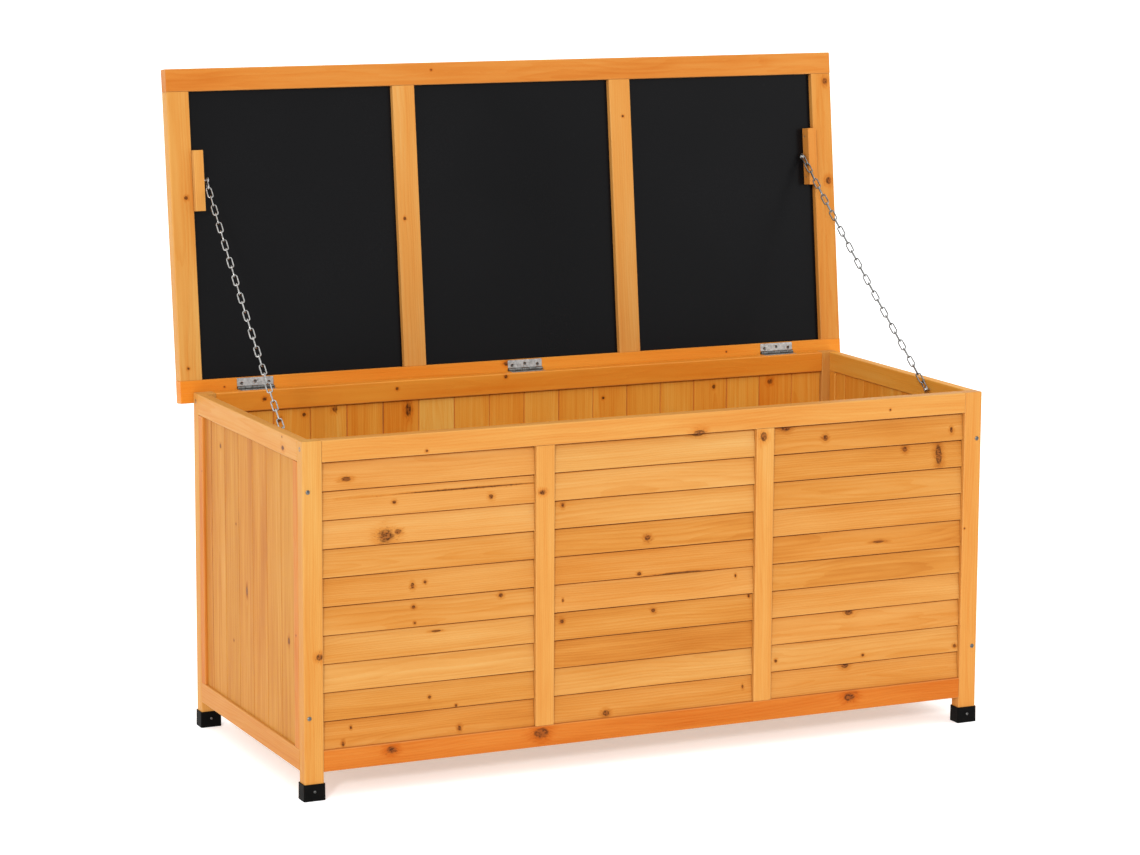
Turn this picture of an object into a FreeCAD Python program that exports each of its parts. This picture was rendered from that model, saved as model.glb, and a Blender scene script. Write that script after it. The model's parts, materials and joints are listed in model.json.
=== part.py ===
"""Deck storage box: a framed timber chest with slatted front, boarded sides and back, and a hinged
lid with three dark panels, held open by two chains.

Millimetres. X runs along the front (left is -X), Y from front to back, Z up. The lid is modelled
closed and then turned back about its hinge pins to the angle where the chains are straight. Last of
all, everything is shifted so that the origin is under the middle of the open box, on the ground.
"""
import FreeCAD, Part
import math
import os

from FreeCAD import Vector

os.makedirs("parts", exist_ok=True)

# Driving dimensions of the box
WIDTH = 1200.0            # over the legs, left to right
DEPTH = 508.0             # over the legs, front to back
HEIGHT = 562.0            # ground to the top of the legs and rails
LEG_WIDE = 32.0           # legs and front mullions, seen from the front
LEG_DEEP = 22.5           # legs, front rails and back rails, front to back
RAIL_TALL = 34.0          # all eight box rails
RAIL_CLEARANCE = 44.0     # ground to the bottom rails
ARRIS = 1.2               # the small chamfer planed along each timber

# Foot caps
CAP_WALL = 1.9
CAP_BASE = 3.0
CAP_TALL = 27.0
CAP_SCREW_Z = 15.0
CAP_SCREW_HEAD = 1.6      # how far its head stands out
CAP_SCREW_HEAD_R = 2.2
CAP_SCREW_R = 1.2
CAP_SCREW_LONG = 15.0

# Front infill: shiplap slats, each one leaning out at its lower edge
BAYS = 3
SLATS = 10
SLAT_LOWER_SETBACK = 4.0
SLAT_UPPER_SETBACK = 9.2
SLAT_REBATE_SETBACK = 10.2
SLAT_BACK_SETBACK = 16.0
SLAT_LAP = 5.6
SLAT_GAP = 0.4

# Sides and back: tongued and grooved boards in framed panels
SIDE_THICK = 17.0
SIDE_STILE = 20.0
SIDE_SETBACK = 4.5
SIDE_FIRST_BOARD = 32.4   # the boards trimmed to fit, next to the rear stiles
BACK_SETBACK = 6.0
BACK_FIRST_BOARD = 36.4   # the board trimmed to fit, next to the rear left leg
BOARD_COVER = 65.1        # one full board, seam to seam
BOARD_THICK = 10.0
BOARD_HOUSING = 6.0       # how far board ends run into the rails
TONGUE = 3.5
TONGUE_THICK = 3.0
TONGUE_FIT = 0.2
BOARD_VEE = 1.4

# Floor
FLOOR_BOARDS = 13
FLOOR_THICK = 10.0
FLOOR_GAP = 2.0
FLOOR_END_GAP = 1.0       # between a floor board's end and the front or back frame
BEARER = 18.0
BEARER_Z = 46.0

# Hinges
HINGE_LONG = 63.5
HINGE_X = (-490.0, 0.0, 490.0)
LEAF_THICK = 1.4
LEAF_WIDE = 16.5          # pin axis to the leaf's free edge
KNUCKLE_R = 2.9
PIN_R = 1.45
PIN_CLEARANCE = 0.05
KNUCKLES = 5
KNUCKLE_GAP = 0.4
PIN_BEHIND_BOX = 3.4      # pin axis behind the box's back face
PIN_REACH = 0.9           # how far a pin stands out past its knuckles
PIN_HEAD_GAP = 0.1        # between the end knuckles and the pin's heads
PIN_HEAD = 0.6            # how much wider than the pin its heads are, on each side
LEAF_FIT = 0.3            # room round a leaf in its housing
KNUCKLE_ROOM = 0.5        # room round the knuckles
KNUCKLE_END_ROOM = 1.5    # room past the outermost knuckles
HINGE_SCREW_INSET = 8.0   # a leaf's end to its outer screws
HINGE_SCREW_BACK = 7.5    # pin axis to the outer screws
HINGE_SCREW_MIDDLE = 9.8  # pin axis to the middle screw
HINGE_SCREW_LONG = 12.0
HINGE_SCREW_HEAD_R = 2.7
HINGE_SCREW_R = 1.3
AXIS_Y = DEPTH / 2 + PIN_BEHIND_BOX
AXIS_Z = HEIGHT - LEAF_THICK + KNUCKLE_R

# Lid
LID_WIDTH = 1240.0
LID_FRONT = 529.0         # pin axis to the lid's front edge
LID_REAR = 20.0           # pin axis to the lid's rear edge
LID_THICK = 24.0
LID_RAIL = 37.5
LID_STILE = 38.5
LID_MULLION = 40.0
LID_MULLION_X = 202.0
LID_ARRIS = 1.6
PANEL_THICK = 4.0
PANEL_RECESS = 10.5       # lid underside to the panel
PANEL_HOUSING = 6.0
LID_UNDERSIDE = AXIS_Z + KNUCKLE_R - LEAF_THICK
LID_LEAN = 6.33           # how far the open lid leans back past upright
LID_OPEN = 90.0 + LID_LEAN

# Chain blocks, screwed and nailed inside the lid's stiles
BLOCK_WIDE = 16.5
BLOCK_TALL = 21.0
BLOCK_LONG = 100.0
BLOCK_ALONG = 345.0       # pin axis to the block's middle, along the lid
NAIL_ALONG = 0.36         # the nails' places, as shares of the block's length and height from its middle
NAIL_DOWN = 0.36
NAIL_BITE = 16.0          # how far the nails go into the stile
NAIL_HEAD_R = 1.9
NAIL_R = 0.9

# Chains
WIRE_R = 1.15
LINK_R = 4.0              # centre line of a link's rounded ends
LINKS = 29
LOWER_LINKS = 14          # links that swing from the box; the others swing from the lid
LINK_SLACK = 0.25
CHAIN_STANDOFF = 6.3      # timber face to the chain's centre line
CHAIN_BOX_Y = -115.0
CHAIN_BOX_Z = HEIGHT - 16.0
CHAIN_SHANK_R = 1.6
SHANK_CLEARANCE = 0.1     # between the shank and the link that pulls on it
WASHER_CLEARANCE = 0.2    # between the end link and its washer
WASHER_THICK = 1.2
WASHER_R = 5.8
CHAIN_SCREW_HEAD_R = 3.6
CHAIN_SCREW_HEAD = 2.2
CHAIN_SCREW_BITE = 11.0   # how far the screw goes into the timber
TWIST_STEP = 15.0         # the first links turn by this much less than a quarter turn
TWIST_LIMIT = 45.0

# Bolts through the legs into the side panels, and screws through the legs into the top rails' ends
BOLT_Z = (131.0, 484.0)
BOLT_HEAD_R = 3.5
BOLT_HEAD = 1.8
BOLT_R = 2.2
BOLT_BITE = 16.0          # how far a bolt goes into the side panel's stile
END_SCREW_DROP = 13.0     # the rails' upper faces to the screws
END_SCREW_HEAD_R = 3.6
END_SCREW_R = 1.8
END_SCREW_BITE = 22.0     # how far a screw goes into its rail

# Places that follow from the dimensions above
HALF_W = WIDTH / 2
HALF_D = DEPTH / 2
INNER_X = HALF_W - LEG_WIDE
INNER_Y = HALF_D - LEG_DEEP
TOP_RAIL_Z = HEIGHT - RAIL_TALL
INFILL_Z = RAIL_CLEARANCE + RAIL_TALL
BAY_WIDE = (2 * INNER_X - (BAYS - 1) * LEG_WIDE) / BAYS
SIDE_INNER_X = HALF_W - SIDE_THICK
LID_OPENING = LID_WIDTH / 2 - LID_STILE
SIDES = {"left": -1, "right": 1}
X_AXIS = Vector(1, 0, 0)

pieces = {}


def span(a, b):
    """The two values in rising order."""
    return (min(a, b), max(a, b))


def block(x, y, z):
    """A box between two values along each axis."""
    x, y, z = span(*x), span(*y), span(*z)
    return Part.makeBox(x[1] - x[0], y[1] - y[0], z[1] - z[0], Vector(x[0], y[0], z[0]))


def timber(x, y, z, grain, arris=ARRIS):
    """A squared timber with a chamfer along each edge that runs with the grain (0, 1 or 2 for X, Y, Z)."""
    shape = block(x, y, z)
    edges = [e for e in shape.Edges if abs(e.tangentAt(e.FirstParameter)[grain]) > 0.9]
    return shape.makeChamfer(arris, edges)


def prism(points, direction):
    """A closed outline swept along a direction."""
    return Part.Face(Part.makePolygon(points + points[:1])).extrude(direction)


def rod(start, end, radius):
    """A round bar from one point to another."""
    way = end - start
    return Part.makeCylinder(radius, way.Length, start, way)


def countersunk(tip, out, length, head_r, shank_r):
    """A countersunk screw whose flat head lies at tip; out points away from the material."""
    depth = head_r - shank_r
    head = Part.makeCone(head_r, shank_r, depth, tip, out * -1)
    return head.fuse(rod(tip - out * depth, tip - out * length, shank_r)).removeSplitter()


def pan_head(seat, out, length, head_r, head_tall, shank_r):
    """A round-headed screw whose head sits on a surface at seat."""
    head = Part.makeCylinder(head_r, head_tall, seat, out)
    circles = [e for e in head.Edges if e.Length > 1]
    rim = [e for e in circles if abs((e.CenterOfMass - seat).dot(out) - head_tall) < 1e-6]
    head = head.makeFillet(head_tall * 0.6, rim)
    return head.fuse(rod(seat, seat - out * length, shank_r)).removeSplitter()


def let_in(hosts, shapes):
    """Cuts the room for some hardware out of the timbers that hold it."""
    for name in hosts:
        for shape in shapes:
            pieces[name] = pieces[name].cut(shape)


def group(shapes):
    """Several separate solids in one node."""
    return Part.makeCompound(list(shapes))


# The box's frame

def make_legs_and_caps():
    """Four legs, each standing in a moulded cap."""
    for front, sy in (("front", -1), ("rear", 1)):
        for side, sx in SIDES.items():
            x = span(sx * HALF_W, sx * INNER_X)
            y = span(sy * HALF_D, sy * INNER_Y)
            pieces[f"leg_{front}_{side}"] = timber(x, y, (CAP_BASE, HEIGHT), 2)
            over_x = (x[0] - CAP_WALL, x[1] + CAP_WALL)
            over_y = (y[0] - CAP_WALL, y[1] + CAP_WALL)
            cap = block(over_x, over_y, (0, CAP_TALL))
            upright = [e for e in cap.Edges if abs(e.tangentAt(e.FirstParameter).z) > 0.9]
            cap = cap.makeFillet(CAP_WALL, upright)
            pieces[f"foot_cap_{front}_{side}"] = cap.cut(block(x, y, (CAP_BASE, CAP_TALL)))


def make_front_frame():
    """Front rails between the legs, and the two mullions between the rails."""
    y = (-HALF_D, -INNER_Y)
    pieces["front_top_rail"] = timber((-INNER_X, INNER_X), y, (TOP_RAIL_Z, HEIGHT), 0)
    pieces["front_bottom_rail"] = timber((-INNER_X, INNER_X), y, (RAIL_CLEARANCE, INFILL_Z), 0)
    for side, sx in SIDES.items():
        near = sx * BAY_WIDE / 2
        pieces[f"front_mullion_{side}"] = timber((near, near + sx * LEG_WIDE), y, (INFILL_Z, TOP_RAIL_Z), 2)


def slat(x0, length, z0, pitch, last):
    """One shiplap slat: thin upper edge set back, thick lower edge standing out over the slat below."""
    rise = pitch - SLAT_GAP
    lap = rise if last else rise + SLAT_LAP
    outline = [
        (SLAT_LOWER_SETBACK, 0),
        (SLAT_UPPER_SETBACK, rise),
        (SLAT_REBATE_SETBACK + SLAT_GAP, rise),
        (SLAT_REBATE_SETBACK + SLAT_GAP, lap),
        (SLAT_BACK_SETBACK, lap),
        (SLAT_BACK_SETBACK, SLAT_LAP),
        (SLAT_REBATE_SETBACK, SLAT_LAP),
        (SLAT_REBATE_SETBACK, 0),
    ]
    if last:
        outline.pop(3)
    points = [Vector(x0, -HALF_D + back, z0 + up) for back, up in outline]
    return prism(points, Vector(length, 0, 0))


def make_front_slats():
    """Ten slats in each of the three bays."""
    pitch = (TOP_RAIL_Z - INFILL_Z) / SLATS
    for bay, name in enumerate(("left", "middle", "right")):
        x0 = -INNER_X + bay * (BAY_WIDE + LEG_WIDE)
        rows = [slat(x0, BAY_WIDE, INFILL_Z + row * pitch, pitch, row == SLATS - 1) for row in range(SLATS)]
        pieces[f"front_slats_{name}"] = group(rows)


def board_widths(total, first):
    """The boards' widths across a panel: a trimmed one, full ones, and one that fills the rest."""
    full = round((total - first) / BOARD_COVER) - 1
    return [first] + [BOARD_COVER] * full + [total - first - full * BOARD_COVER]


def board_outline(wide, grooved, tongued):
    """A board's section as (across, through) pairs: a groove on its near edge, a tongue on its far edge."""
    middle = BOARD_THICK / 2
    low, high = middle - TONGUE_THICK / 2, middle + TONGUE_THICK / 2
    deep = BOARD_THICK - BOARD_VEE
    edge = wide - TONGUE_FIT
    near = [(0, BOARD_THICK), (0, 0)]
    if grooved:
        mouth = [(0, high + TONGUE_FIT), (TONGUE + 2 * TONGUE_FIT, high + TONGUE_FIT)]
        mouth += [(TONGUE + 2 * TONGUE_FIT, low - TONGUE_FIT), (0, low - TONGUE_FIT)]
        near = [(BOARD_VEE, BOARD_THICK), (0, deep)] + mouth + [(0, BOARD_VEE), (BOARD_VEE, 0)]
    far = [(wide, 0), (wide, BOARD_THICK)]
    if tongued:
        tongue = [(edge, low), (wide + TONGUE, low), (wide + TONGUE, high), (edge, high)]
        far = [(edge - BOARD_VEE, 0), (edge, BOARD_VEE)] + tongue
        far += [(edge, deep), (edge - BOARD_VEE, BOARD_THICK)]
    return near + far


def matched_boards(widths, start, along, inward, z):
    """Upright tongued and grooved boards side by side, from start along along.

    start is on the boards' outer face, and inward points from that face to their back.
    """
    boards = []
    place = 0.0
    for number, wide in enumerate(widths):
        outline = board_outline(wide, number > 0, number < len(widths) - 1)
        points = [start + along * (place + across) + inward * through for across, through in outline]
        boards.append(prism([Vector(p.x, p.y, z[0]) for p in points], Vector(0, 0, z[1] - z[0])))
        place += wide
    return boards


def make_back():
    """Back rails between the rear legs, with upright boards housed in them."""
    y = (INNER_Y, HALF_D)
    pieces["back_top_rail"] = timber((-INNER_X, INNER_X), y, (TOP_RAIL_Z, HEIGHT), 0)
    pieces["back_bottom_rail"] = timber((-INNER_X, INNER_X), y, (RAIL_CLEARANCE, INFILL_Z), 0)
    z = (INFILL_Z - BOARD_HOUSING, TOP_RAIL_Z + BOARD_HOUSING)
    outer = HALF_D - BACK_SETBACK
    widths = board_widths(2 * INNER_X, BACK_FIRST_BOARD)
    pieces["back_boards"] = group(
        matched_boards(widths, Vector(-INNER_X, outer, 0), Vector(1, 0, 0), Vector(0, -1, 0), z)
    )
    groove = block((-INNER_X, INNER_X), (outer - BOARD_THICK, outer), z)
    let_in(("back_top_rail", "back_bottom_rail"), [groove])


def make_side(side, sx):
    """One side panel: two rails, two narrow stiles and the boards between them."""
    x = (sx * HALF_W, sx * SIDE_INNER_X)
    reach = INNER_Y - SIDE_STILE
    pieces[f"side_top_rail_{side}"] = timber(x, (-INNER_Y, INNER_Y), (TOP_RAIL_Z, HEIGHT), 1)
    pieces[f"side_bottom_rail_{side}"] = timber(x, (-INNER_Y, INNER_Y), (RAIL_CLEARANCE, INFILL_Z), 1)
    stiles = [timber(x, span(sy * INNER_Y, sy * reach), (INFILL_Z, TOP_RAIL_Z), 2) for sy in (-1, 1)]
    pieces[f"side_stiles_{side}"] = group(stiles)
    z = (INFILL_Z - BOARD_HOUSING, TOP_RAIL_Z + BOARD_HOUSING)
    outer = HALF_W - SIDE_SETBACK
    widths = board_widths(2 * reach, SIDE_FIRST_BOARD)
    pieces[f"side_boards_{side}"] = group(
        matched_boards(widths, Vector(sx * outer, reach, 0), Vector(0, -1, 0), Vector(-sx, 0, 0), z)
    )
    groove = block((sx * outer, sx * (outer - BOARD_THICK)), (-reach, reach), z)
    let_in((f"side_top_rail_{side}", f"side_bottom_rail_{side}"), [groove])


def make_floor():
    """Bearers along the front, the middle and the back, and floor boards laid across them."""
    z = (BEARER_Z, BEARER_Z + BEARER)
    lines = (-INNER_Y + BEARER / 2, 0, INNER_Y - BEARER / 2)
    bearers = [block((-SIDE_INNER_X, SIDE_INNER_X), (y - BEARER / 2, y + BEARER / 2), z) for y in lines]
    pieces["floor_bearers"] = group(bearers)
    pitch = 2 * SIDE_INNER_X / FLOOR_BOARDS
    reach = INNER_Y - FLOOR_END_GAP
    starts = [-SIDE_INNER_X + number * pitch + FLOOR_GAP / 2 for number in range(FLOOR_BOARDS)]
    boards = [
        block((x, x + pitch - FLOOR_GAP), (-reach, reach), (z[1], z[1] + FLOOR_THICK)) for x in starts
    ]
    pieces["floor_boards"] = group(boards)


# The lid, drawn closed

def lid_y(distance):
    """The place along Y, with the lid closed, that is distance in front of the pins."""
    return AXIS_Y - distance


def make_lid_frame():
    """Two rails over the full width, with stiles and mullions between them."""
    z = (LID_UNDERSIDE, LID_UNDERSIDE + LID_THICK)
    half = LID_WIDTH / 2
    front = (lid_y(LID_FRONT), lid_y(LID_FRONT - LID_RAIL))
    rear = (lid_y(LID_RAIL - LID_REAR), lid_y(-LID_REAR))
    between = (front[1], rear[0])
    pieces["lid_front_rail"] = timber((-half, half), front, z, 0, LID_ARRIS)
    pieces["lid_rear_rail"] = timber((-half, half), rear, z, 0, LID_ARRIS)
    for side, sx in SIDES.items():
        pieces[f"lid_stile_{side}"] = timber((sx * half, sx * LID_OPENING), between, z, 1, LID_ARRIS)
        inner = sx * (LID_MULLION_X - LID_MULLION / 2)
        outer = sx * (LID_MULLION_X + LID_MULLION / 2)
        pieces[f"lid_mullion_{side}"] = timber((inner, outer), between, z, 1, LID_ARRIS)
    return between


def make_lid_panels(between):
    """Three dark sheets held in grooves around each opening of the lid's frame."""
    z0 = LID_UNDERSIDE + PANEL_RECESS
    z = (z0, z0 + PANEL_THICK)
    near = LID_MULLION_X - LID_MULLION / 2
    far = LID_MULLION_X + LID_MULLION / 2
    openings = {
        "left": (-LID_OPENING, -far, ("lid_stile_left", "lid_mullion_left")),
        "middle": (-near, near, ("lid_mullion_left", "lid_mullion_right")),
        "right": (far, LID_OPENING, ("lid_mullion_right", "lid_stile_right")),
    }
    for name, (x0, x1, uprights) in openings.items():
        y = (between[0] - PANEL_HOUSING, between[1] + PANEL_HOUSING)
        sheet = block((x0 - PANEL_HOUSING, x1 + PANEL_HOUSING), y, z)
        pieces[f"lid_panel_{name}"] = sheet
        let_in(uprights + ("lid_front_rail", "lid_rear_rail"), [sheet])


def make_chain_blocks():
    """A block inside each stile, with two nails through it, that carries the chain's upper screw."""
    z0 = LID_UNDERSIDE + PANEL_RECESS
    y = (lid_y(BLOCK_ALONG + BLOCK_LONG / 2), lid_y(BLOCK_ALONG - BLOCK_LONG / 2))
    nails = []
    for side, sx in SIDES.items():
        x = (sx * LID_OPENING, sx * (LID_OPENING - BLOCK_WIDE))
        name = f"chain_block_{side}"
        pieces[name] = timber(x, y, (z0 - BLOCK_TALL, z0), 1)
        for end in (-1, 1):
            place = lid_y(BLOCK_ALONG + end * NAIL_ALONG * BLOCK_LONG)
            face = Vector(sx * (LID_OPENING - BLOCK_WIDE), place, z0 - BLOCK_TALL * NAIL_DOWN)
            nail = countersunk(face, Vector(-sx, 0, 0), BLOCK_WIDE + NAIL_BITE, NAIL_HEAD_R, NAIL_R)
            nails.append(nail)
            let_in((name, f"lid_stile_{side}"), [nail])
    pieces["chain_block_nails"] = group(nails)


# Hinges

def pin_line(start, end, radius):
    """A bar along the pins' axis between two places along X."""
    return rod(Vector(start, AXIS_Y, AXIS_Z), Vector(end, AXIS_Y, AXIS_Z), radius)


def leaf(x0, up):
    """One hinge leaf with its knuckles. up is 1 for the lid's leaf and -1 for the box's."""
    step = HINGE_LONG / KNUCKLES
    z = (AXIS_Z + up * (KNUCKLE_R - LEAF_THICK), AXIS_Z + up * KNUCKLE_R)
    inner_edge = AXIS_Y - KNUCKLE_R - KNUCKLE_GAP
    shape = block((x0, x0 + HINGE_LONG), (AXIS_Y - LEAF_WIDE, inner_edge), z)
    for number in range(KNUCKLES):
        if (number % 2 == 0) != (up < 0):
            continue
        a = x0 + number * step + (KNUCKLE_GAP / 2 if number else 0)
        b = x0 + (number + 1) * step - (KNUCKLE_GAP / 2 if number < KNUCKLES - 1 else 0)
        barrel = pin_line(a, b, KNUCKLE_R)
        shape = shape.fuse([block((a, b), (inner_edge, AXIS_Y), z), barrel])
    bore = pin_line(x0, x0 + HINGE_LONG, PIN_R + PIN_CLEARANCE)
    return shape.cut(bore).removeSplitter()


def hinge_screws(x0, up):
    """Three countersunk screws per leaf, the middle one set further from the pin."""
    z = AXIS_Z + up * (KNUCKLE_R - LEAF_THICK)
    places = (
        (HINGE_SCREW_INSET, HINGE_SCREW_BACK),
        (HINGE_LONG / 2, HINGE_SCREW_MIDDLE),
        (HINGE_LONG - HINGE_SCREW_INSET, HINGE_SCREW_BACK),
    )
    seats = [Vector(x0 + along, AXIS_Y - back, z) for along, back in places]
    out = Vector(0, 0, -up)
    return [countersunk(seat, out, HINGE_SCREW_LONG, HINGE_SCREW_HEAD_R, HINGE_SCREW_R) for seat in seats]


def make_hinges():
    """Three butt hinges, each leaf let in flush, with the pin just behind the back of the box."""
    leaves = {1: [], -1: []}
    screws = {1: [], -1: []}
    pins = []
    for middle in HINGE_X:
        x0 = middle - HINGE_LONG / 2
        x1 = x0 + HINGE_LONG
        for up, host in ((1, "lid_rear_rail"), (-1, "back_top_rail")):
            fixings = hinge_screws(x0, up)
            plate = leaf(x0, up)
            for screw in fixings:
                plate = plate.cut(screw)
            leaves[up].append(plate)
            screws[up] += fixings
            level = AXIS_Z + up * (KNUCKLE_R - LEAF_THICK)
            long = (x0 - LEAF_FIT, x1 + LEAF_FIT)
            wide = (AXIS_Y - LEAF_WIDE - LEAF_FIT, AXIS_Y)
            room = block(long, wide, (level, level + up * LEAF_THICK))
            swing = pin_line(x0 - KNUCKLE_END_ROOM, x1 + KNUCKLE_END_ROOM, KNUCKLE_R + KNUCKLE_ROOM)
            let_in((host,), [room, swing] + fixings)
        shaft = pin_line(x0 - PIN_REACH, x1 + PIN_REACH, PIN_R)
        heads = [
            pin_line(x0 - PIN_REACH, x0 - PIN_HEAD_GAP, PIN_R + PIN_HEAD),
            pin_line(x1 + PIN_HEAD_GAP, x1 + PIN_REACH, PIN_R + PIN_HEAD),
        ]
        pins.append(shaft.fuse(heads).removeSplitter())
    pieces["hinge_leaves_box"] = group(leaves[-1])
    pieces["hinge_leaves_lid"] = group(leaves[1])
    pieces["hinge_pins"] = group(pins)
    pieces["hinge_screws_box"] = group(screws[-1])
    pieces["hinge_screws_lid"] = group(screws[1])


# Fixings of the box

def make_fixings():
    """Bolts through the legs into the side panels, screws into the rails' ends and the caps' screws."""
    bolts, end_screws, cap_screws = [], [], []
    for front, sy in (("front", -1), ("rear", 1)):
        for side, sx in SIDES.items():
            leg = f"leg_{front}_{side}"
            for z in BOLT_Z:
                seat = Vector(sx * (HALF_W - SIDE_THICK / 2), sy * HALF_D, z)
                out = Vector(0, sy, 0)
                bolt = pan_head(seat, out, LEG_DEEP + BOLT_BITE, BOLT_HEAD_R, BOLT_HEAD, BOLT_R)
                bolts.append(bolt)
                let_in((leg, f"side_stiles_{side}"), [bolt])
            seat = Vector(sx * HALF_W, sy * (HALF_D - LEG_DEEP / 2), HEIGHT - END_SCREW_DROP)
            out = Vector(sx, 0, 0)
            screw = countersunk(seat, out, LEG_WIDE + END_SCREW_BITE, END_SCREW_HEAD_R, END_SCREW_R)
            end_screws.append(screw)
            let_in((leg, f"{'front' if sy < 0 else 'back'}_top_rail"), [screw])
            face = (-HALF_D if sy < 0 else INNER_Y) - CAP_WALL
            seat = Vector(sx * (HALF_W - LEG_WIDE / 2), face, CAP_SCREW_Z)
            out = Vector(0, -1, 0)
            screw = pan_head(seat, out, CAP_SCREW_LONG, CAP_SCREW_HEAD_R, CAP_SCREW_HEAD, CAP_SCREW_R)
            cap_screws.append(screw)
            let_in((leg, f"foot_cap_{front}_{side}"), [screw])
    pieces["side_panel_bolts"] = group(bolts)
    pieces["rail_end_screws"] = group(end_screws)
    pieces["foot_cap_screws"] = group(cap_screws)


# Chains

def swing_open(point):
    """Where a point of the closed lid is once the lid is open."""
    angle = math.radians(-LID_OPEN)
    y, z = point.y - AXIS_Y, point.z - AXIS_Z
    turned_y = y * math.cos(angle) - z * math.sin(angle)
    turned_z = y * math.sin(angle) + z * math.cos(angle)
    return Vector(point.x, AXIS_Y + turned_y, AXIS_Z + turned_z)


def chain_ends(sx):
    """The middle of the end links' pins: on the box, and on the open lid."""
    box_end = Vector(sx * (SIDE_INNER_X - CHAIN_STANDOFF), CHAIN_BOX_Y, CHAIN_BOX_Z)
    lid_x = sx * (LID_OPENING - BLOCK_WIDE - CHAIN_STANDOFF)
    lid_end = swing_open(Vector(lid_x, lid_y(BLOCK_ALONG), LID_UNDERSIDE + PANEL_RECESS - BLOCK_TALL / 2))
    return box_end, lid_end


def chain_link(straight):
    """One welded link lying along X in the XY plane, its first rounded end centred on the origin."""
    parts = []
    for centre, turn in ((Vector(), 90), (Vector(straight, 0, 0), -90)):
        ring = Part.makeTorus(LINK_R, WIRE_R, Vector(), Vector(0, 0, 1), 0, 360, 180)
        ring.rotate(Vector(), Vector(0, 0, 1), turn)
        ring.translate(centre)
        parts.append(ring)
    for y in (-LINK_R, LINK_R):
        parts.append(rod(Vector(0, y, 0), Vector(straight, y, 0), WIRE_R))
    return parts[0].fuse(parts[1:]).removeSplitter()


def make_chain(side, sx):
    """A straight chain in two lengths: the lower swings from the box and the upper from the lid."""
    box_end, lid_end = chain_ends(sx)
    way = lid_end - box_end
    seat = LINK_R - CHAIN_SHANK_R - WIRE_R - SHANK_CLEARANCE
    pitch = (way.Length - 2 * seat + 2 * LINK_R - 2 * WIRE_R - LINK_SLACK) / LINKS
    straight = pitch - (2 * LINK_R - 2 * WIRE_R - LINK_SLACK)
    along = Vector(way).normalize()
    across = X_AXIS - along * X_AXIS.dot(along)
    across.normalize()
    flat = across.cross(along)
    link = chain_link(straight)
    links = []
    for number in range(LINKS):
        turn = 90.0 * number - min(TWIST_STEP * min(number, LINKS - 1 - number), TWIST_LIMIT)
        place = FreeCAD.Matrix(
            along.x, flat.x, across.x, 0,
            along.y, flat.y, across.y, 0,
            along.z, flat.z, across.z, 0,
            0, 0, 0, 1,
        )
        shape = link.copy()
        shape.rotate(Vector(), X_AXIS, turn)
        shape.transformShape(place)
        shape.translate(box_end + along * (seat + number * pitch))
        links.append(shape)
    pieces[f"chain_{side}_lower"] = group(links[:LOWER_LINKS])
    pieces[f"chain_{side}_upper"] = group(links[LOWER_LINKS:])


def anchor(face, out):
    """A chain's screw and washer. The link hangs loose on the shank between the timber and the washer."""
    room = CHAIN_STANDOFF + WIRE_R + WASHER_CLEARANCE
    inner, outer = face + out * room, face + out * (room + WASHER_THICK)
    length = CHAIN_SCREW_BITE + room + WASHER_THICK
    screw = pan_head(outer, out, length, CHAIN_SCREW_HEAD_R, CHAIN_SCREW_HEAD, CHAIN_SHANK_R)
    washer = rod(inner, outer, WASHER_R).cut(rod(inner, outer, CHAIN_SHANK_R))
    return screw, washer


def make_chain_anchors():
    """The four screws and washers that hold the chains' ends."""
    box_screws, box_washers, lid_screws, lid_washers = [], [], [], []
    for side, sx in SIDES.items():
        out = Vector(-sx, 0, 0)
        screw, washer = anchor(Vector(sx * SIDE_INNER_X, CHAIN_BOX_Y, CHAIN_BOX_Z), out)
        box_screws.append(screw)
        box_washers.append(washer)
        let_in((f"side_top_rail_{side}",), [screw])
        height = LID_UNDERSIDE + PANEL_RECESS - BLOCK_TALL / 2
        screw, washer = anchor(Vector(sx * (LID_OPENING - BLOCK_WIDE), lid_y(BLOCK_ALONG), height), out)
        lid_screws.append(screw)
        lid_washers.append(washer)
        let_in((f"chain_block_{side}",), [screw])
    pieces["chain_screws_box"] = group(box_screws)
    pieces["chain_washers_box"] = group(box_washers)
    pieces["chain_screws_lid"] = group(lid_screws)
    pieces["chain_washers_lid"] = group(lid_washers)


LID_NODES = (
    "lid_front_rail", "lid_rear_rail", "lid_stile_left", "lid_stile_right", "lid_mullion_left",
    "lid_mullion_right", "lid_panel_left", "lid_panel_middle", "lid_panel_right", "chain_block_left",
    "chain_block_right", "chain_block_nails", "hinge_leaves_lid", "hinge_screws_lid", "chain_screws_lid",
    "chain_washers_lid",
)


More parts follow.
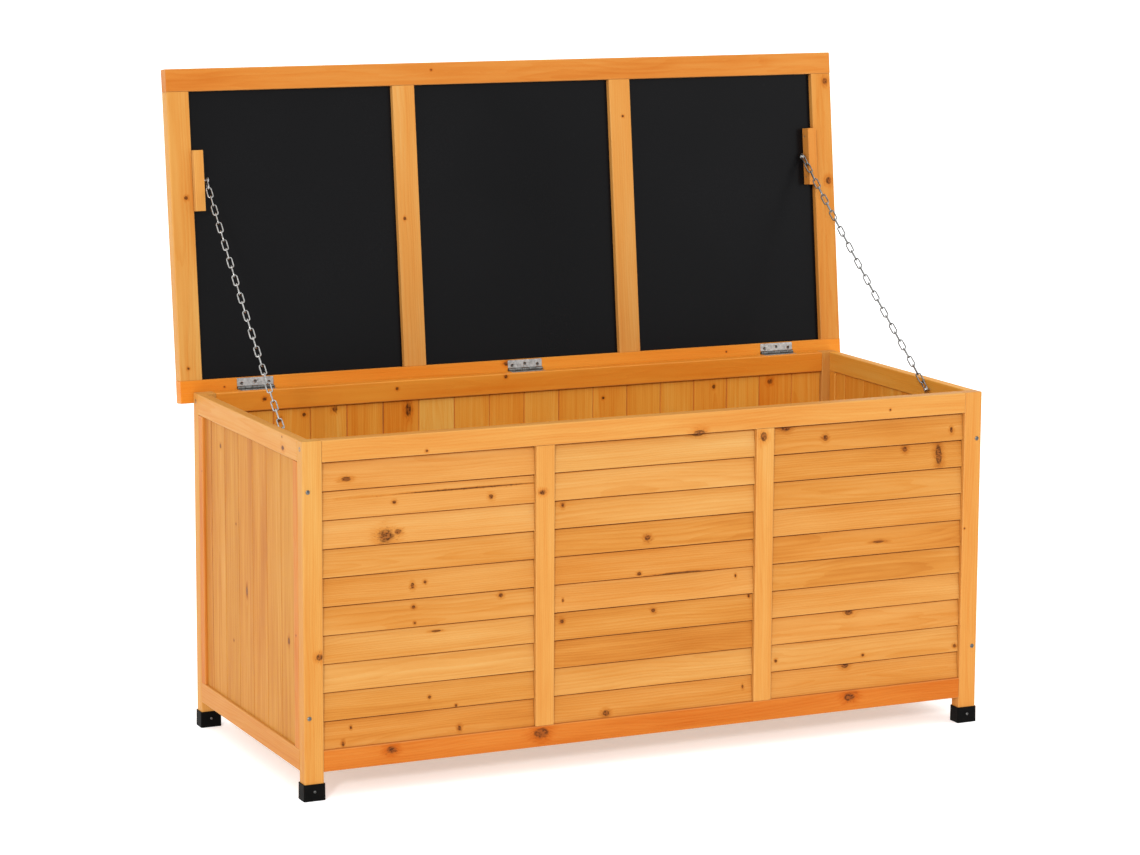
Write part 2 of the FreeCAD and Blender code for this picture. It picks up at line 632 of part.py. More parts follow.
def build():
    """Makes every piece, opens the lid and brings the origin under the middle of the open box."""
    make_legs_and_caps()
    make_front_frame()
    make_front_slats()
    make_back()
    for side, sx in SIDES.items():
        make_side(side, sx)
    make_floor()
    between = make_lid_frame()
    make_lid_panels(between)
    make_chain_blocks()
    make_hinges()
    make_fixings()
    make_chain_anchors()
    for name in LID_NODES:
        pieces[name].rotate(Vector(0, AXIS_Y, AXIS_Z), X_AXIS, -LID_OPEN)
    for side, sx in SIDES.items():
        make_chain(side, sx)
    lean = math.radians(LID_LEAN)
    top_back = LID_FRONT * math.sin(lean) + (LID_UNDERSIDE + LID_THICK - AXIS_Z) * math.cos(lean)
    rearmost = AXIS_Y + top_back - LID_ARRIS * math.sin(lean)
    foremost = -HALF_D - CAP_WALL - CAP_SCREW_HEAD
    middle = (rearmost + foremost) / 2
    for name, shape in pieces.items():
        shape.translate(Vector(0, -middle, 0))
        shape.exportStep(f"parts/{name}.step")
        print(name, len(shape.Solids), "solids,", "valid" if shape.isValid() else "NOT VALID")
    print("origin moved back by", round(middle, 4), "pins at", round(AXIS_Y - middle, 4), round(AXIS_Z, 4))
    for side, sx in SIDES.items():
        box_end, lid_end = chain_ends(sx)
        print(side, "chain", [round(v, 3) for v in box_end - Vector(0, middle, 0)],
              [round(v, 3) for v in lid_end - Vector(0, middle, 0)])


build()
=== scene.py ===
# %% [markdown]
# # A deck storage box of stained fir
#
# The object is a long garden chest. Its front is made of overlapping slats, its sides and back of
# upright boards, and its lid is a timber frame round three black sheets, held open by two chains.
# The engineering model gives every piece's place and motion. This file gives the pieces their looks:
# eased edges, knots and grain, moulded caps, welded links and screw heads.
#
# The first cell loads the engineering model as a fixed frame and keeps its parts, so that their boxes can be read
# later.

# %% The frame
import json
import math

import bpy
import numpy as np
from mathutils import Matrix, Vector

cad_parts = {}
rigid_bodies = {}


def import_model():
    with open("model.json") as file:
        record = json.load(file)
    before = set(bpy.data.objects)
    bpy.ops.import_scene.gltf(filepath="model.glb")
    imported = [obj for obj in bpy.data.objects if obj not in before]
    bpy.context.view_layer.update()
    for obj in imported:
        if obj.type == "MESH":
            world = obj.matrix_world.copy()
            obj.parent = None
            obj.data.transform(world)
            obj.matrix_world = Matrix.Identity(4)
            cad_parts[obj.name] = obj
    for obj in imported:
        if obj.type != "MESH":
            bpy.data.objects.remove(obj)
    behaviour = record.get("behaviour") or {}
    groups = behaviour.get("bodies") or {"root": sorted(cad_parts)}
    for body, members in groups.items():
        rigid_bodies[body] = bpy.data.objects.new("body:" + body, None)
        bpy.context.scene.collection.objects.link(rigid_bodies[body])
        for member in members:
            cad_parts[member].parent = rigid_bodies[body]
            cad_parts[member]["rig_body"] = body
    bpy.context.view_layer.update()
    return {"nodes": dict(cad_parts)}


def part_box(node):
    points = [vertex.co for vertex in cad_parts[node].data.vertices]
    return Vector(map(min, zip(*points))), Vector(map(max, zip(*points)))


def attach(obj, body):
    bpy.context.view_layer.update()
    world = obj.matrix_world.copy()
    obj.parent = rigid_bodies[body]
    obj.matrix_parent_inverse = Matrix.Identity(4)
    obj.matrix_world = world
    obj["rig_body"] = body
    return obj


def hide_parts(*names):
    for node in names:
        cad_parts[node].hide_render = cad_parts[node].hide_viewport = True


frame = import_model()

MM = 0.001

# %% [markdown]
# ## Camera
#
# The box is seen from its front left corner, a little from above, by a long lens, so its upright
# edges stay nearly parallel. A camera looks along its own -Z with its own Y upwards, so its turn is
# a matrix whose columns are right, up and backwards. A small downward shift frames the tall open lid
# and the feet together without tilting the camera.

# %% The camera
CAMERA_PLACE = Vector((-2.379, -5.0683, 1.4687))
CAMERA_AZIMUTH = math.radians(24.997)
CAMERA_ELEVATION = math.radians(9.059)
CAMERA_ROLL = math.radians(0.267)
CAMERA_LENS = 107.8
CAMERA_SHIFT = -0.0417

ahead = Vector((
    math.sin(CAMERA_AZIMUTH) * math.cos(CAMERA_ELEVATION),
    math.cos(CAMERA_AZIMUTH) * math.cos(CAMERA_ELEVATION),
    -math.sin(CAMERA_ELEVATION),
))
level = Vector((math.cos(CAMERA_AZIMUTH), -math.sin(CAMERA_AZIMUTH), 0))
upright = level.cross(ahead)
right = level * math.cos(CAMERA_ROLL) + upright * math.sin(CAMERA_ROLL)
up = upright * math.cos(CAMERA_ROLL) - level * math.sin(CAMERA_ROLL)
camera = bpy.data.objects.new("camera", bpy.data.cameras.new("camera"))
camera.data.lens = CAMERA_LENS
camera.data.shift_y = CAMERA_SHIFT
turn = Matrix((right, up, -ahead)).transposed().to_4x4()
camera.matrix_world = Matrix.Translation(CAMERA_PLACE) @ turn
bpy.context.scene.collection.objects.link(camera)
bpy.context.scene.camera = camera
print("camera", round((CAMERA_PLACE - Vector((0, 0, 0.5))).length, 2), "m from the box")

# %% [markdown]
# ## Node trees written as sums
#
# A finish is a network of small nodes. Drawing it by hand hides the thinking, so a small class wraps
# one socket: adding, subtracting, multiplying or dividing wires adds Math nodes, and one method makes
# any other node. An expression such as `1 - mask` then reads like the sentence it stands for.
# Colours are mixed by Mix nodes, because a Math node would turn them grey.

# %% A wire between nodes
class Wire:
    """One output socket. Arithmetic on wires adds Math nodes and gives a new wire."""

    def __init__(self, tree, socket=None):
        self.tree = tree
        self.socket = socket

    def node(self, kind, settings=None, inputs=None, output=0):
        """Any node: its type, then its settings, then the numbers, colours or wires of its sockets."""
        made = self.tree.nodes.new("ShaderNode" + kind)
        for key, value in (settings or {}).items():
            if key == "stops":
                elements = made.color_ramp.elements
                elements.remove(elements[1])
                elements[0].position, elements[0].color = value[0][0], (*value[0][1], 1)
                for place, colour in value[1:]:
                    elements.new(place).color = (*colour, 1)
            else:
                setattr(made, key, value)
        for key, value in (inputs or {}).items():
            if isinstance(value, Wire):
                self.tree.links.new(value.socket, made.inputs[key])
            else:
                made.inputs[key].default_value = value
        return Wire(self.tree, made.outputs[output])

    def out(self, name):
        """Another output of the same node."""
        return Wire(self.tree, self.socket.node.outputs[name])

    def math(self, operation, *others):
        return self.node("Math", {"operation": operation}, dict(enumerate((self,) + others)))

    def __add__(self, other):
        return self.math("ADD", other)

    def __sub__(self, other):
        return self.math("SUBTRACT", other)

    def __mul__(self, other):
        return self.math("MULTIPLY", other)

    def __truediv__(self, other):
        return self.math("DIVIDE", other)

    def __rsub__(self, other):
        return self.node("Math", {"operation": "SUBTRACT"}, {0: other, 1: self})

    def rise(self, low, high):
        """0 below low, 1 above high, and a smooth climb between them."""
        return self.node("MapRange", {"interpolation_type": "SMOOTHSTEP"}, {0: self, 1: low, 2: high})

    def mixed(self, other, share, way="MIX"):
        """This colour mixed with another."""
        settings = {"data_type": "RGBA", "blend_type": way}
        return self.node("Mix", settings, {0: share, 6: self, 7: other}, 2)

    def stretched(self, scale):
        """This place multiplied by a scale for each axis."""
        return self.node("VectorMath", {"operation": "MULTIPLY"}, {0: self, 1: scale})

    def noise(self, scale, detail=2.0, output="Fac"):
        """Smooth noise at this place, read with its own scale for each axis."""
        settings = {"Vector": self.stretched(scale), "Scale": 1.0, "Detail": detail}
        return self.node("TexNoise", {}, settings, output)


def new_finish(name):
    """An empty material, and a wire to start its tree from."""
    material = bpy.data.materials.new(name)
    material.use_nodes = True
    material.node_tree.nodes.clear()
    return material, Wire(material.node_tree)


def coat_with(start, constants, colour, roughness, height, relief):
    """Ends a tree: a Principled shader with a Bump node, wired to the output."""
    bump = start.node("Bump", {}, {"Strength": 1.0, "Distance": relief, "Height": height})
    sockets = {**constants, "Base Color": colour, "Roughness": roughness, "Normal": bump}
    shader = start.node("BsdfPrincipled", {}, sockets)
    end = start.tree.nodes.new("ShaderNodeOutputMaterial")
    start.tree.links.new(shader.socket, end.inputs["Surface"])


def srgb(red, green, blue):
    """An everyday 0 to 255 colour as the amounts of light that a shader uses."""
    steps = np.array((red, green, blue)) / 255
    return tuple(np.where(steps < 0.04045, steps / 12.92, ((steps + 0.055) / 1.055) ** 2.4))

# %% [markdown]
# ## Stained fir
#
# Fir shows four things through a clear orange stain. Growth rings are cylinders round the log's
# heart, so every board carries its own place in the log, and the rings are worked out as a solid
# pattern: the faces show long flames and the ends show arcs, as sawn timber does. Fine fibres run
# along the board. Broad soft streaks take more or less stain. Knots are branches: a dark rim round a
# darker, uneven core with splinters beside it, and the rings pushed aside round it. Each slat is
# painted darker in a band just under the lip of the slat above: a painted shadow. Each board is
# painted darker along its seam: painted shade. The timbers at the back and on the right stand in the
# box's shade, so they have brighter, redder ramps and finishes of their own: painted light.
#
# Each board's mesh carries these facts as attributes, so that one finish serves every board and the
# grain turns with the board: `grain` is the place within the board (along, across and through it),
# `board` its shade, warmth and seed, `pith` the place of the log's heart, `knot_one` to `knot_three`
# its knots (along, across, radius, and how much longer than wide), and `wear` is 1 on its arrises.

# %% The wood finish
RING_GAP = 3.4 * MM
KNOTS = ("knot_one", "knot_two", "knot_three")


def read(start, name, output="Vector"):
    return start.node("Attribute", {"attribute_name": name}, {}, output)


def split(wire):
    x = wire.node("SeparateXYZ", {}, {0: wire})
    return x, x.out("Y"), x.out("Z")


def wood_finish(name, stops, ring_share, streak_share, fibre_share, satin, painted_shade_band=None):
    """Solid grain. ring = sqrt(x^2 + y^2) / gap round the heart, pushed outwards round each knot.

    The last argument is (from, to, amount): a band across the board painted darker, as painted shadow under a slat's
    lip and as painted shade in a board's seam.
    """
    material, start = new_finish(name)
    grain = read(start, "grain")
    along, across, through = split(grain)
    shade, warmth, seed = split(read(start, "board"))
    heart_x, heart_y, _ = split(read(start, "pith"))
    moved = start.node("VectorMath", {"operation": "SCALE"}, {0: (3.7, 5.3, 7.9), "Scale": seed * 10.0})
    place = start.node("VectorMath", {"operation": "ADD"}, {0: grain, 1: moved})
    sway_x, sway_y, _ = split(place.noise((2.4, 8, 8), 2.0, "Color"))
    x = across - heart_x + (sway_x - 0.5) * 0.03
    y = through - heart_y + (sway_y - 0.5) * 0.03
    distance = (x * x + y * y).math("SQRT")
    fray = place.noise((60, 160, 160), 2.0)
    flaw = place.noise((240, 420, 420), 2.0)
    nearest, push, small = None, 0.0, 0.0
    for label in KNOTS:
        knot = read(start, label, "Color")
        knot_along, knot_across, radius = split(knot)
        u = (along - knot_along) / knot.out("Alpha")
        v = across - knot_across
        reach = (u * u + v * v).math("SQRT") / radius * (fray * 0.9 + 0.55)
        push = (reach * reach * -0.35).math("EXPONENT") * radius * 1.2 + push
        nearest = reach if nearest is None else nearest.math("MINIMUM", reach)
        small = (1 - reach.rise(0.4, 1.15)) * (1 - radius.rise(2.8 * MM, 4.5 * MM)) + small
    drift = place.noise((0.6, 60, 60), 1.0)
    phase = (distance + push) / RING_GAP + drift * 2.5 + fray * 0.25
    saw = phase.math("FRACT")
    late = saw.rise(0.3, 0.92) * (1 - saw.rise(0.95, 1.0))
    cloud = place.noise((3.5, 24, 24), 3.0) - 0.5
    streak = place.noise((4.0, 130, 130), 3.0) - 0.5
    fibre = place.noise((22, 1300, 1300), 2.0) - 0.5
    halo = 1 - nearest.rise(0.9, 2.9)
    depth = late * ring_share + cloud * 0.5 + streak * streak_share + fibre * fibre_share
    depth = depth - shade * 0.085 + halo * 0.2 + 0.42
    # Painted shade: a band across the board is drawn darker, the shadow under the lip on slats and the shade in the
    # seam on boards.
    if painted_shade_band:
        depth = depth + across.rise(*painted_shade_band[:2]) * painted_shade_band[2]
    colour = start.node("ValToRGB", {"stops": stops}, {"Fac": depth})
    colour = colour.mixed((*srgb(255, 216, 176), 1), warmth * 0.6, "MULTIPLY")
    core = 1 - nearest.rise(0.5, 1.05)
    rim = nearest.rise(0.55, 0.85) * (1 - nearest.rise(0.9, 1.3))
    splinters = (1 - nearest.rise(1.0, 2.3)) * flaw.rise(0.56, 0.68) * 0.5
    colour = colour.mixed((*stain(140, 76, 30), 1), splinters)
    colour = colour.mixed((*stain(158, 84, 34), 1), core * 0.75)
    colour = colour.mixed((*stain(78, 40, 16), 1), core * flaw.rise(0.46, 0.62) * 0.85)
    colour = colour.mixed((*stain(86, 44, 18), 1), rim * fray.rise(0.36, 0.6) * 0.85)
    colour = colour.mixed((*stain(116, 62, 24), 1), small * (flaw * 0.5 + 0.4))
    wear = read(start, "wear", "Fac")
    colour = colour.mixed((*stain(255, 204, 142), 1), wear * (streak + 0.55) * 0.4)
    roughness = fibre * 0.22 + late * 0.05 + (satin - 0.02) - core * 0.08
    height = fibre * 0.5 + late * 0.35 + streak * 0.3 - rim * 0.8
    coat_with(start, {"Specular IOR Level": 0.08}, colour, roughness, height, 0.00022)
    return material


STAIN_SHARE = (0.555, 0.55, 0.475)
# The rear share is painted light: brighter and redder, for the timbers that stand in the box's shade.
REAR_PAINTED_LIGHT_SHARE = (0.68, 0.69, 0.42)


def stain(red, green, blue, share=STAIN_SHARE):
    """A stain that looks as the colour given once the studio's light has been added to it."""
    return tuple(np.array(srgb(red, green, blue)) * share)


RAMP_PLACES = (0.0, 0.3, 0.55, 0.8, 1.0)


def stained_ramp(*colours, share=STAIN_SHARE):
    """Ramp stops from pale early wood to dark late wood."""
    return tuple((place, stain(*colour, share)) for place, colour in zip(RAMP_PLACES, colours))


FIR_FRAME = stained_ramp((255, 210, 142), (250, 184, 102), (240, 158, 72), (222, 126, 36), (166, 84, 22))
FIR_SLAT = stained_ramp((255, 206, 138), (247, 181, 104), (234, 156, 72), (210, 124, 42), (124, 64, 20))
FIR_BOARD = stained_ramp((255, 208, 136), (249, 190, 106), (236, 168, 76), (214, 134, 50), (128, 68, 24))
# Painted light: the frame's colours with the brighter, redder rear share, for the shaded inside.
FIR_REAR_PAINTED_LIGHT = stained_ramp(
    (255, 210, 142), (250, 184, 98), (240, 158, 68), (222, 126, 36), (150, 78, 24), share=REAR_PAINTED_LIGHT_SHARE,
)
# Painted shadow: a dark band at the top of each slat, under the lip of the slat above.
LIP_PAINTED_SHADOW = (41.6 * MM, 44.2 * MM, 0.9)
# Painted shade: a dark band along each board's grooved edge, in the seam.
SEAM_PAINTED_SHADE, REAR_SEAM_PAINTED_SHADE = (2.4 * MM, 0.8 * MM, 0.16), (2.6 * MM, 0.9 * MM, 0.3)
frame_fir = wood_finish("stained_fir_frame", FIR_FRAME, 0.06, 0.3, 0.14, 0.44)
slat_fir = wood_finish("stained_fir_slats", FIR_SLAT, 0.08, 0.36, 0.12, 0.46, LIP_PAINTED_SHADOW)
board_fir = wood_finish("stained_fir_boards", FIR_BOARD, 0.08, 0.5, 0.14, 0.5, SEAM_PAINTED_SHADE)
# Painted light: the rear finishes are brighter, redder copies for the timbers in the box's shade.
rear_frame_fir_painted_light = wood_finish("stained_fir_rear_frame_painted_light", FIR_REAR_PAINTED_LIGHT, 0.03, 0.26, 0.12, 0.45)
rear_board_fir_painted_light = wood_finish("stained_fir_rear_boards_painted_light", FIR_REAR_PAINTED_LIGHT, 0.09, 0.6, 0.16, 0.47, REAR_SEAM_PAINTED_SHADE)
floor_fir = wood_finish("sawn_fir_floor", FIR_BOARD, 0.2, 0.4, 0.5, 0.62)
print("wood finishes:", len(frame_fir.node_tree.nodes), "nodes each")

# %% [markdown]
# ## Black sheet, moulded caps and zinc
#
# The lid's sheets are smooth black board with a soft gloss, a very fine skin and a few dull patches
# where hands and dust have touched them. The caps are moulded in black plastic with a fine spark
# texture. Chains, hinges and screws are zinc plated: a slightly cloudy metal. The hinges are the
# brightest and the screws are the dullest. The two chains share one plating in two copies, a lighter
# one on the left and a darker one on the right: painted light and painted shade. Whatever lies close
# to the hinge pins is painted darker: painted shade on the knuckles.

# %% The other finishes
def sheet_finish():
    material, start = new_finish("black_sheet")
    place = start.node("TexCoord", {}, {}, "Object")
    skin = place.noise((900, 900, 900), 2.0)
    dull = place.noise((2.2, 2.2, 2.2), 3.0)
    dust = place.noise((160, 160, 160), 2.0).rise(0.66, 0.8)
    stops = ((0.3, (0.0026, 0.0026, 0.003)), (0.7, (0.0042, 0.0042, 0.0048)))
    colour = start.node("ValToRGB", {"stops": stops}, {"Fac": dull})
    colour = colour.mixed((0.012, 0.012, 0.012, 1), dust * 0.25)
    roughness = dull * 0.16 + skin * 0.05 + 0.16
    coat_with(start, {"Specular IOR Level": 0.1}, colour, roughness, skin, 0.00002)
    return material


def cap_finish():
    material, start = new_finish("moulded_black_plastic")
    place = start.node("TexCoord", {}, {}, "Object")
    spark = place.noise((1600, 1600, 1600), 2.0)
    patch = place.noise((60, 60, 60), 2.0)
    stops = ((0.3, (0.0016, 0.0015, 0.0014)), (0.8, (0.003, 0.0028, 0.0026)))
    colour = start.node("ValToRGB", {"stops": stops}, {"Fac": patch})
    roughness = spark * 0.16 + patch * 0.1 + 0.4
    coat_with(start, {"Specular IOR Level": 0.05}, colour, roughness, spark, 0.00006)
    return material


def zinc_finish(name, dull, bright, polish):
    """Plating between a dull and a bright grey, painted darker close to the hinge pins as shade on the knuckles."""
    material, start = new_finish(name)
    place = start.node("TexCoord", {}, {}, "Object")
    cloud = place.noise((240, 240, 240), 3.0)
    drawn = place.noise((90, 2200, 2200), 2.0)
    stops = ((0.3, srgb(dull, dull, dull - 2)), (0.7, srgb(bright, bright, bright - 2)))
    colour = start.node("ValToRGB", {"stops": stops}, {"Fac": cloud})
    _, y, z = split(place)
    y, z = y - PIN_Y, z - PIN_Z
    # Painted shade: the knuckles round the hinge pins are drawn darker.
    knuckle_painted_shade = 1 - (y * y + z * z).math("SQRT").rise(2.8 * MM, 4.2 * MM)
    colour = colour.mixed((*srgb(70, 66, 62), 1), knuckle_painted_shade * (cloud.rise(0.25, 0.6) * 0.5 + 0.4))
    coat_with(start, {"Metallic": 1.0}, colour, cloud * 0.22 + drawn * 0.12 + polish, drawn, 0.00003)
    return material


low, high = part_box("hinge_pins")
PIN_Y, PIN_Z = (low.y + high.y) / 2, (low.z + high.z) / 2
black_sheet, cap_plastic = sheet_finish(), cap_finish()
zinc = zinc_finish("zinc_plating", 158, 206, 0.16)
# The chains are one plating in two copies: the left lighter, painted light, and the right darker, painted shade.
chain_zinc_painted_lighter = zinc_finish("zinc_plated_chain_bright", 132, 190, 0.12)
chain_zinc_painted_darker = zinc_finish("zinc_plated_chain_dull", 96, 150, 0.14)
screw_zinc = zinc_finish("zinc_plated_screws", 84, 132, 0.2)
FINISHES = {
    "frame": (frame_fir, "frame_timber"), "slat": (slat_fir, "slat_timber"),
    "board": (board_fir, "board_timber"),
    # The rear finishes are painted light for the shaded inside and the right side.
    "rear_frame": (rear_frame_fir_painted_light, "frame_timber"), "rear_board": (rear_board_fir_painted_light, "board_timber"),
    "floor": (floor_fir, "floor_timber"), "sheet": (black_sheet, "black_panel"),
    "cap": (cap_plastic, "black_cap_plastic"), "zinc": (zinc, "zinc_plated_steel"),
    "chain_left": (chain_zinc_painted_lighter, "zinc_plated_steel"), "chain_right": (chain_zinc_painted_darker, "zinc_plated_steel"),
    "screw": (screw_zinc, "zinc_plated_steel"),
}

# %% [markdown]
# ## From sections to solids
#
# Almost every timber is one outline carried along a straight line. The outline's corners are eased
# with small curves, as a plane or sandpaper leaves them, and the two ends are eased as well, by
# shrinking the outline over the last half millimetre. All points are worked out at once as arrays.

# %% Outlines
CORNER_STEPS = 4
corner_share = np.linspace(0, 1, CORNER_STEPS + 1)
corner_wear = np.sin(np.pi * corner_share)


def rectangle(wide, deep):
    """Four corners centred on 0, 0, anticlockwise."""
    return np.array([(-1, -1), (1, -1), (1, 1), (-1, 1)]) * (wide / 2, deep / 2)


def shrink(outline, amount):
    """Every side moved inwards: corner + amount * (n1 + n2) / (1 + n1.n2), n1 and n2 the inward normals."""
    side = np.roll(outline, -1, 0) - outline
    side = side / np.linalg.norm(side, axis=1, keepdims=True)
    inward = np.stack([-side[:, 1], side[:, 0]], 1)
    before = np.roll(inward, 1, 0)
    return outline + amount * (inward + before) / (1 + (inward * before).sum(1, keepdims=True))


def eased(outline, cut):
    """Each corner V becomes (1-t)^2 A + 2t(1-t) V + t^2 B, A and B a cut's length away on its sides."""
    after = np.roll(outline, -1, 0) - outline
    before = np.roll(outline, 1, 0) - outline
    long_after = np.linalg.norm(after, axis=1, keepdims=True)
    long_before = np.linalg.norm(before, axis=1, keepdims=True)
    cut = np.minimum(cut, 0.45 * np.minimum(long_after, long_before))
    a = (outline + before / long_before * cut)[:, None]
    b = (outline + after / long_after * cut)[:, None]
    t = corner_share[None, :, None]
    return ((1 - t) ** 2 * a + 2 * t * (1 - t) * outline[:, None] + t ** 2 * b).reshape(-1, 2)


def eased_ends(outline, length, ease, between=()):
    """(distance, outline) stations: a quarter circle of shrinking at each end, and any stations between."""
    quarter = np.radians((0, 45, 90))
    near = [(ease * (1 - math.cos(q)), shrink(outline, ease * (1 - math.sin(q)))) for q in quarter]
    far = [(length - distance, section) for distance, section in reversed(near)]
    return near + list(between) + far


# %% Solids
def ring_faces(rings, around):
    """Quads between neighbouring rings of points, and a cap at each end."""
    row = np.arange(rings - 1)[:, None] * around
    column = np.arange(around)[None, :]
    beside = (column + 1) % around
    quads = np.stack([row + column, row + beside, row + around + beside, row + around + column], -1)
    last = (rings - 1) * around
    return quads.reshape(-1, 4).tolist() + [list(range(around))[::-1], list(range(last, last + around))]


def swept(origin, along, across, stations, cut, facts):
    """Point = origin + along * distance + across * p + (along x across) * q for each outline point (p, q)."""
    along, across = np.array(along, float), np.array(across, float)
    rings = np.stack([eased(outline, cut) for _, outline in stations])
    distance = np.array([d for d, _ in stations])[:, None, None]
    local = np.concatenate([np.broadcast_to(distance, rings.shape[:2] + (1,)), rings], -1).reshape(-1, 3)
    points = np.array(origin, float) + local @ np.stack([along, across, np.cross(along, across)])
    wear = np.tile(np.tile(corner_wear, rings.shape[1] // len(corner_wear)), len(stations))
    faces = ring_faces(*rings.shape[:2])
    return {"points": points, "faces": faces, "grain": local, "wear": wear, "facts": facts}


def put_in_mesh(mesh, name, kind, width, values):
    layer = mesh.attributes.new(name, kind, "POINT")
    layer.data.foreach_set({1: "value", 3: "vector", 4: "color"}[width], np.asarray(values, np.float32).ravel())


def finished(node, solids, finish, soften=True):
    """Joins solids into one piece that stands for a CAD node: finish, body and attributes."""
    starts = np.cumsum([0] + [len(s["points"]) for s in solids])
    faces = [
        [corner + first for corner in face]
        for s, first in zip(solids, starts.tolist()) for face in s["faces"]
    ]
    mesh = bpy.data.meshes.new("finished_" + node)
    mesh.from_pydata(np.concatenate([s["points"] for s in solids]).tolist(), [], faces)
    if "grain" in solids[0]:
        put_in_mesh(mesh, "grain", "FLOAT_VECTOR", 3, np.concatenate([s["grain"] for s in solids]))
        put_in_mesh(mesh, "wear", "FLOAT", 1, np.concatenate([s["wear"] for s in solids]))
        for fact, value in solids[0]["facts"].items():
            kind = "FLOAT_VECTOR" if len(value) == 3 else "FLOAT_COLOR"
            rows = [np.tile(s["facts"][fact], (len(s["points"]), 1)) for s in solids]
            put_in_mesh(mesh, fact, kind, len(value), np.concatenate(rows))
    mesh.shade_smooth()
    mesh.set_sharp_from_angle(angle=math.radians(48))
    piece = bpy.data.objects.new("finished_" + node, mesh)
    bpy.context.scene.collection.objects.link(piece)
    if soften:
        piece.modifiers.new("even_shading", "WEIGHTED_NORMAL").keep_sharp = True
    material, slot = FINISHES[finish]
    mesh.materials.append(material)
    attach(piece, frame["nodes"][node]["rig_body"])
    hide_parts(node)
    return piece


# %% [markdown]
# ## Each board's own wood
#
# No two boards come from the same place in the log. Dice with a fixed seed choose each board's warmth,
# pattern and heart, so that the box is the same each time it is made, while the boards that a maker
# would notice, with a large knot or a darker stain, have theirs written down.

# %% Choosing the wood
dice = np.random.default_rng(11)
NO_KNOT = (-1.0, -1.0, 1 * MM, 1.0)


def wood(shade=0.0, knots=(), spread=0.35, warm=(0.0, 0.4)):
    """One board's facts. warm is a range. Knots are (along, across, radius in mm, stretch), up to three."""
    angle = dice.uniform(0, 2 * np.pi)
    reach = dice.uniform(0.015, 0.085)
    facts = {
        "board": (shade + dice.normal(0, spread), dice.uniform(*warm), dice.uniform()),
        "pith": (reach * math.cos(angle), reach * math.sin(angle), 0.0),
    }
    chosen = [(a * MM, b * MM, r * MM, stretch) for a, b, r, stretch in knots]
    chosen += [NO_KNOT] * (len(KNOTS) - len(chosen))
    facts.update(zip(KNOTS, chosen))
    return facts


def chance_knots(length, wide, most=2, largest=4.0):
    """Up to a few small knots anywhere on a board, in millimetres."""
    count = dice.integers(0, most + 1)
    return [
        (
            dice.uniform(0.05, 0.95) * length, dice.uniform(-0.4, 0.4) * wide,
            dice.uniform(1.2, largest), dice.uniform(0.9, 1.6),
        )
        for _ in range(count)
    ]


# %% [markdown]
# ## The box's frame
#
# Legs, rails and mullions are planed sticks. Their places are the engineering nodes' own boxes, so
# nothing is fitted by eye. Each stick says which way its grain runs and which way is across its face.

# %% Squared timbers
ARRIS = 2.0 * MM
END_EASE = 0.7 * MM
X, Y, Z = np.eye(3)


def squared(node, along, across, facts, finish="frame"):
    """A planed timber in the place of a CAD node."""
    low, high = (np.array(corner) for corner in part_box(node))
    size = high - low
    length, wide, deep = (abs(size @ axis) for axis in (along, across, np.cross(along, across)))
    origin = (low + high) / 2 - along * length / 2
    stations = eased_ends(rectangle(wide, deep), length, END_EASE)
    return finished(node, [swept(origin, along, across, stations, ARRIS, facts)], finish)


LEG_KNOTS = {
    "front_left": [(223, -10, 5.0, 1.0)], "front_right": [(330, 12, 1.6, 1.0)],
    "rear_left": [(250, 2, 3.0, 1.4), (420, -3, 2.5, 1.4)], "rear_right": [(180, 4, 2.5, 1.2)],
}
for corner, knots in LEG_KNOTS.items():
    squared("leg_" + corner, Z, -X, wood(0.1, knots))
FOOT_KNOTS = [(112, 6, 5.5, 1.5), (367, 5, 8.0, 1.5), (926, 6, 6.5, 1.5)]
TOP_KNOTS = [(172, -11, 2.2, 1.0), (643, -17, 6.0, 1.6), (993, -2, 1.8, 1.0)]
squared("front_bottom_rail", X, Z, wood(-2.3, FOOT_KNOTS, warm=(1.1, 1.4)))
squared("front_top_rail", X, Z, wood(1.2, TOP_KNOTS))
squared("front_mullion_left", Z, -X, wood(1.0, [(376, 6, 5.0, 0.8)]))
squared("front_mullion_right", Z, -X, wood(0.8, [(437, 4, 5.5, 1.3)]))
squared("back_bottom_rail", X, Z, wood(-0.6, chance_knots(1136, 30)))
print("frame: legs, front rails and mullions")

# %% [markdown]
# ## The front slats
#
# The front is clad like a small shed. Each slat leans out at its lower edge and overlaps the one
# below, where its back is rebated, so the lower edge throws a thin line of shadow. One outline with
# the lean and the rebate, carried along the bay, gives the lip, the shadow and the hidden lap.
# Shades run from the bottom slat up: 1 is paler and -1 is darker.

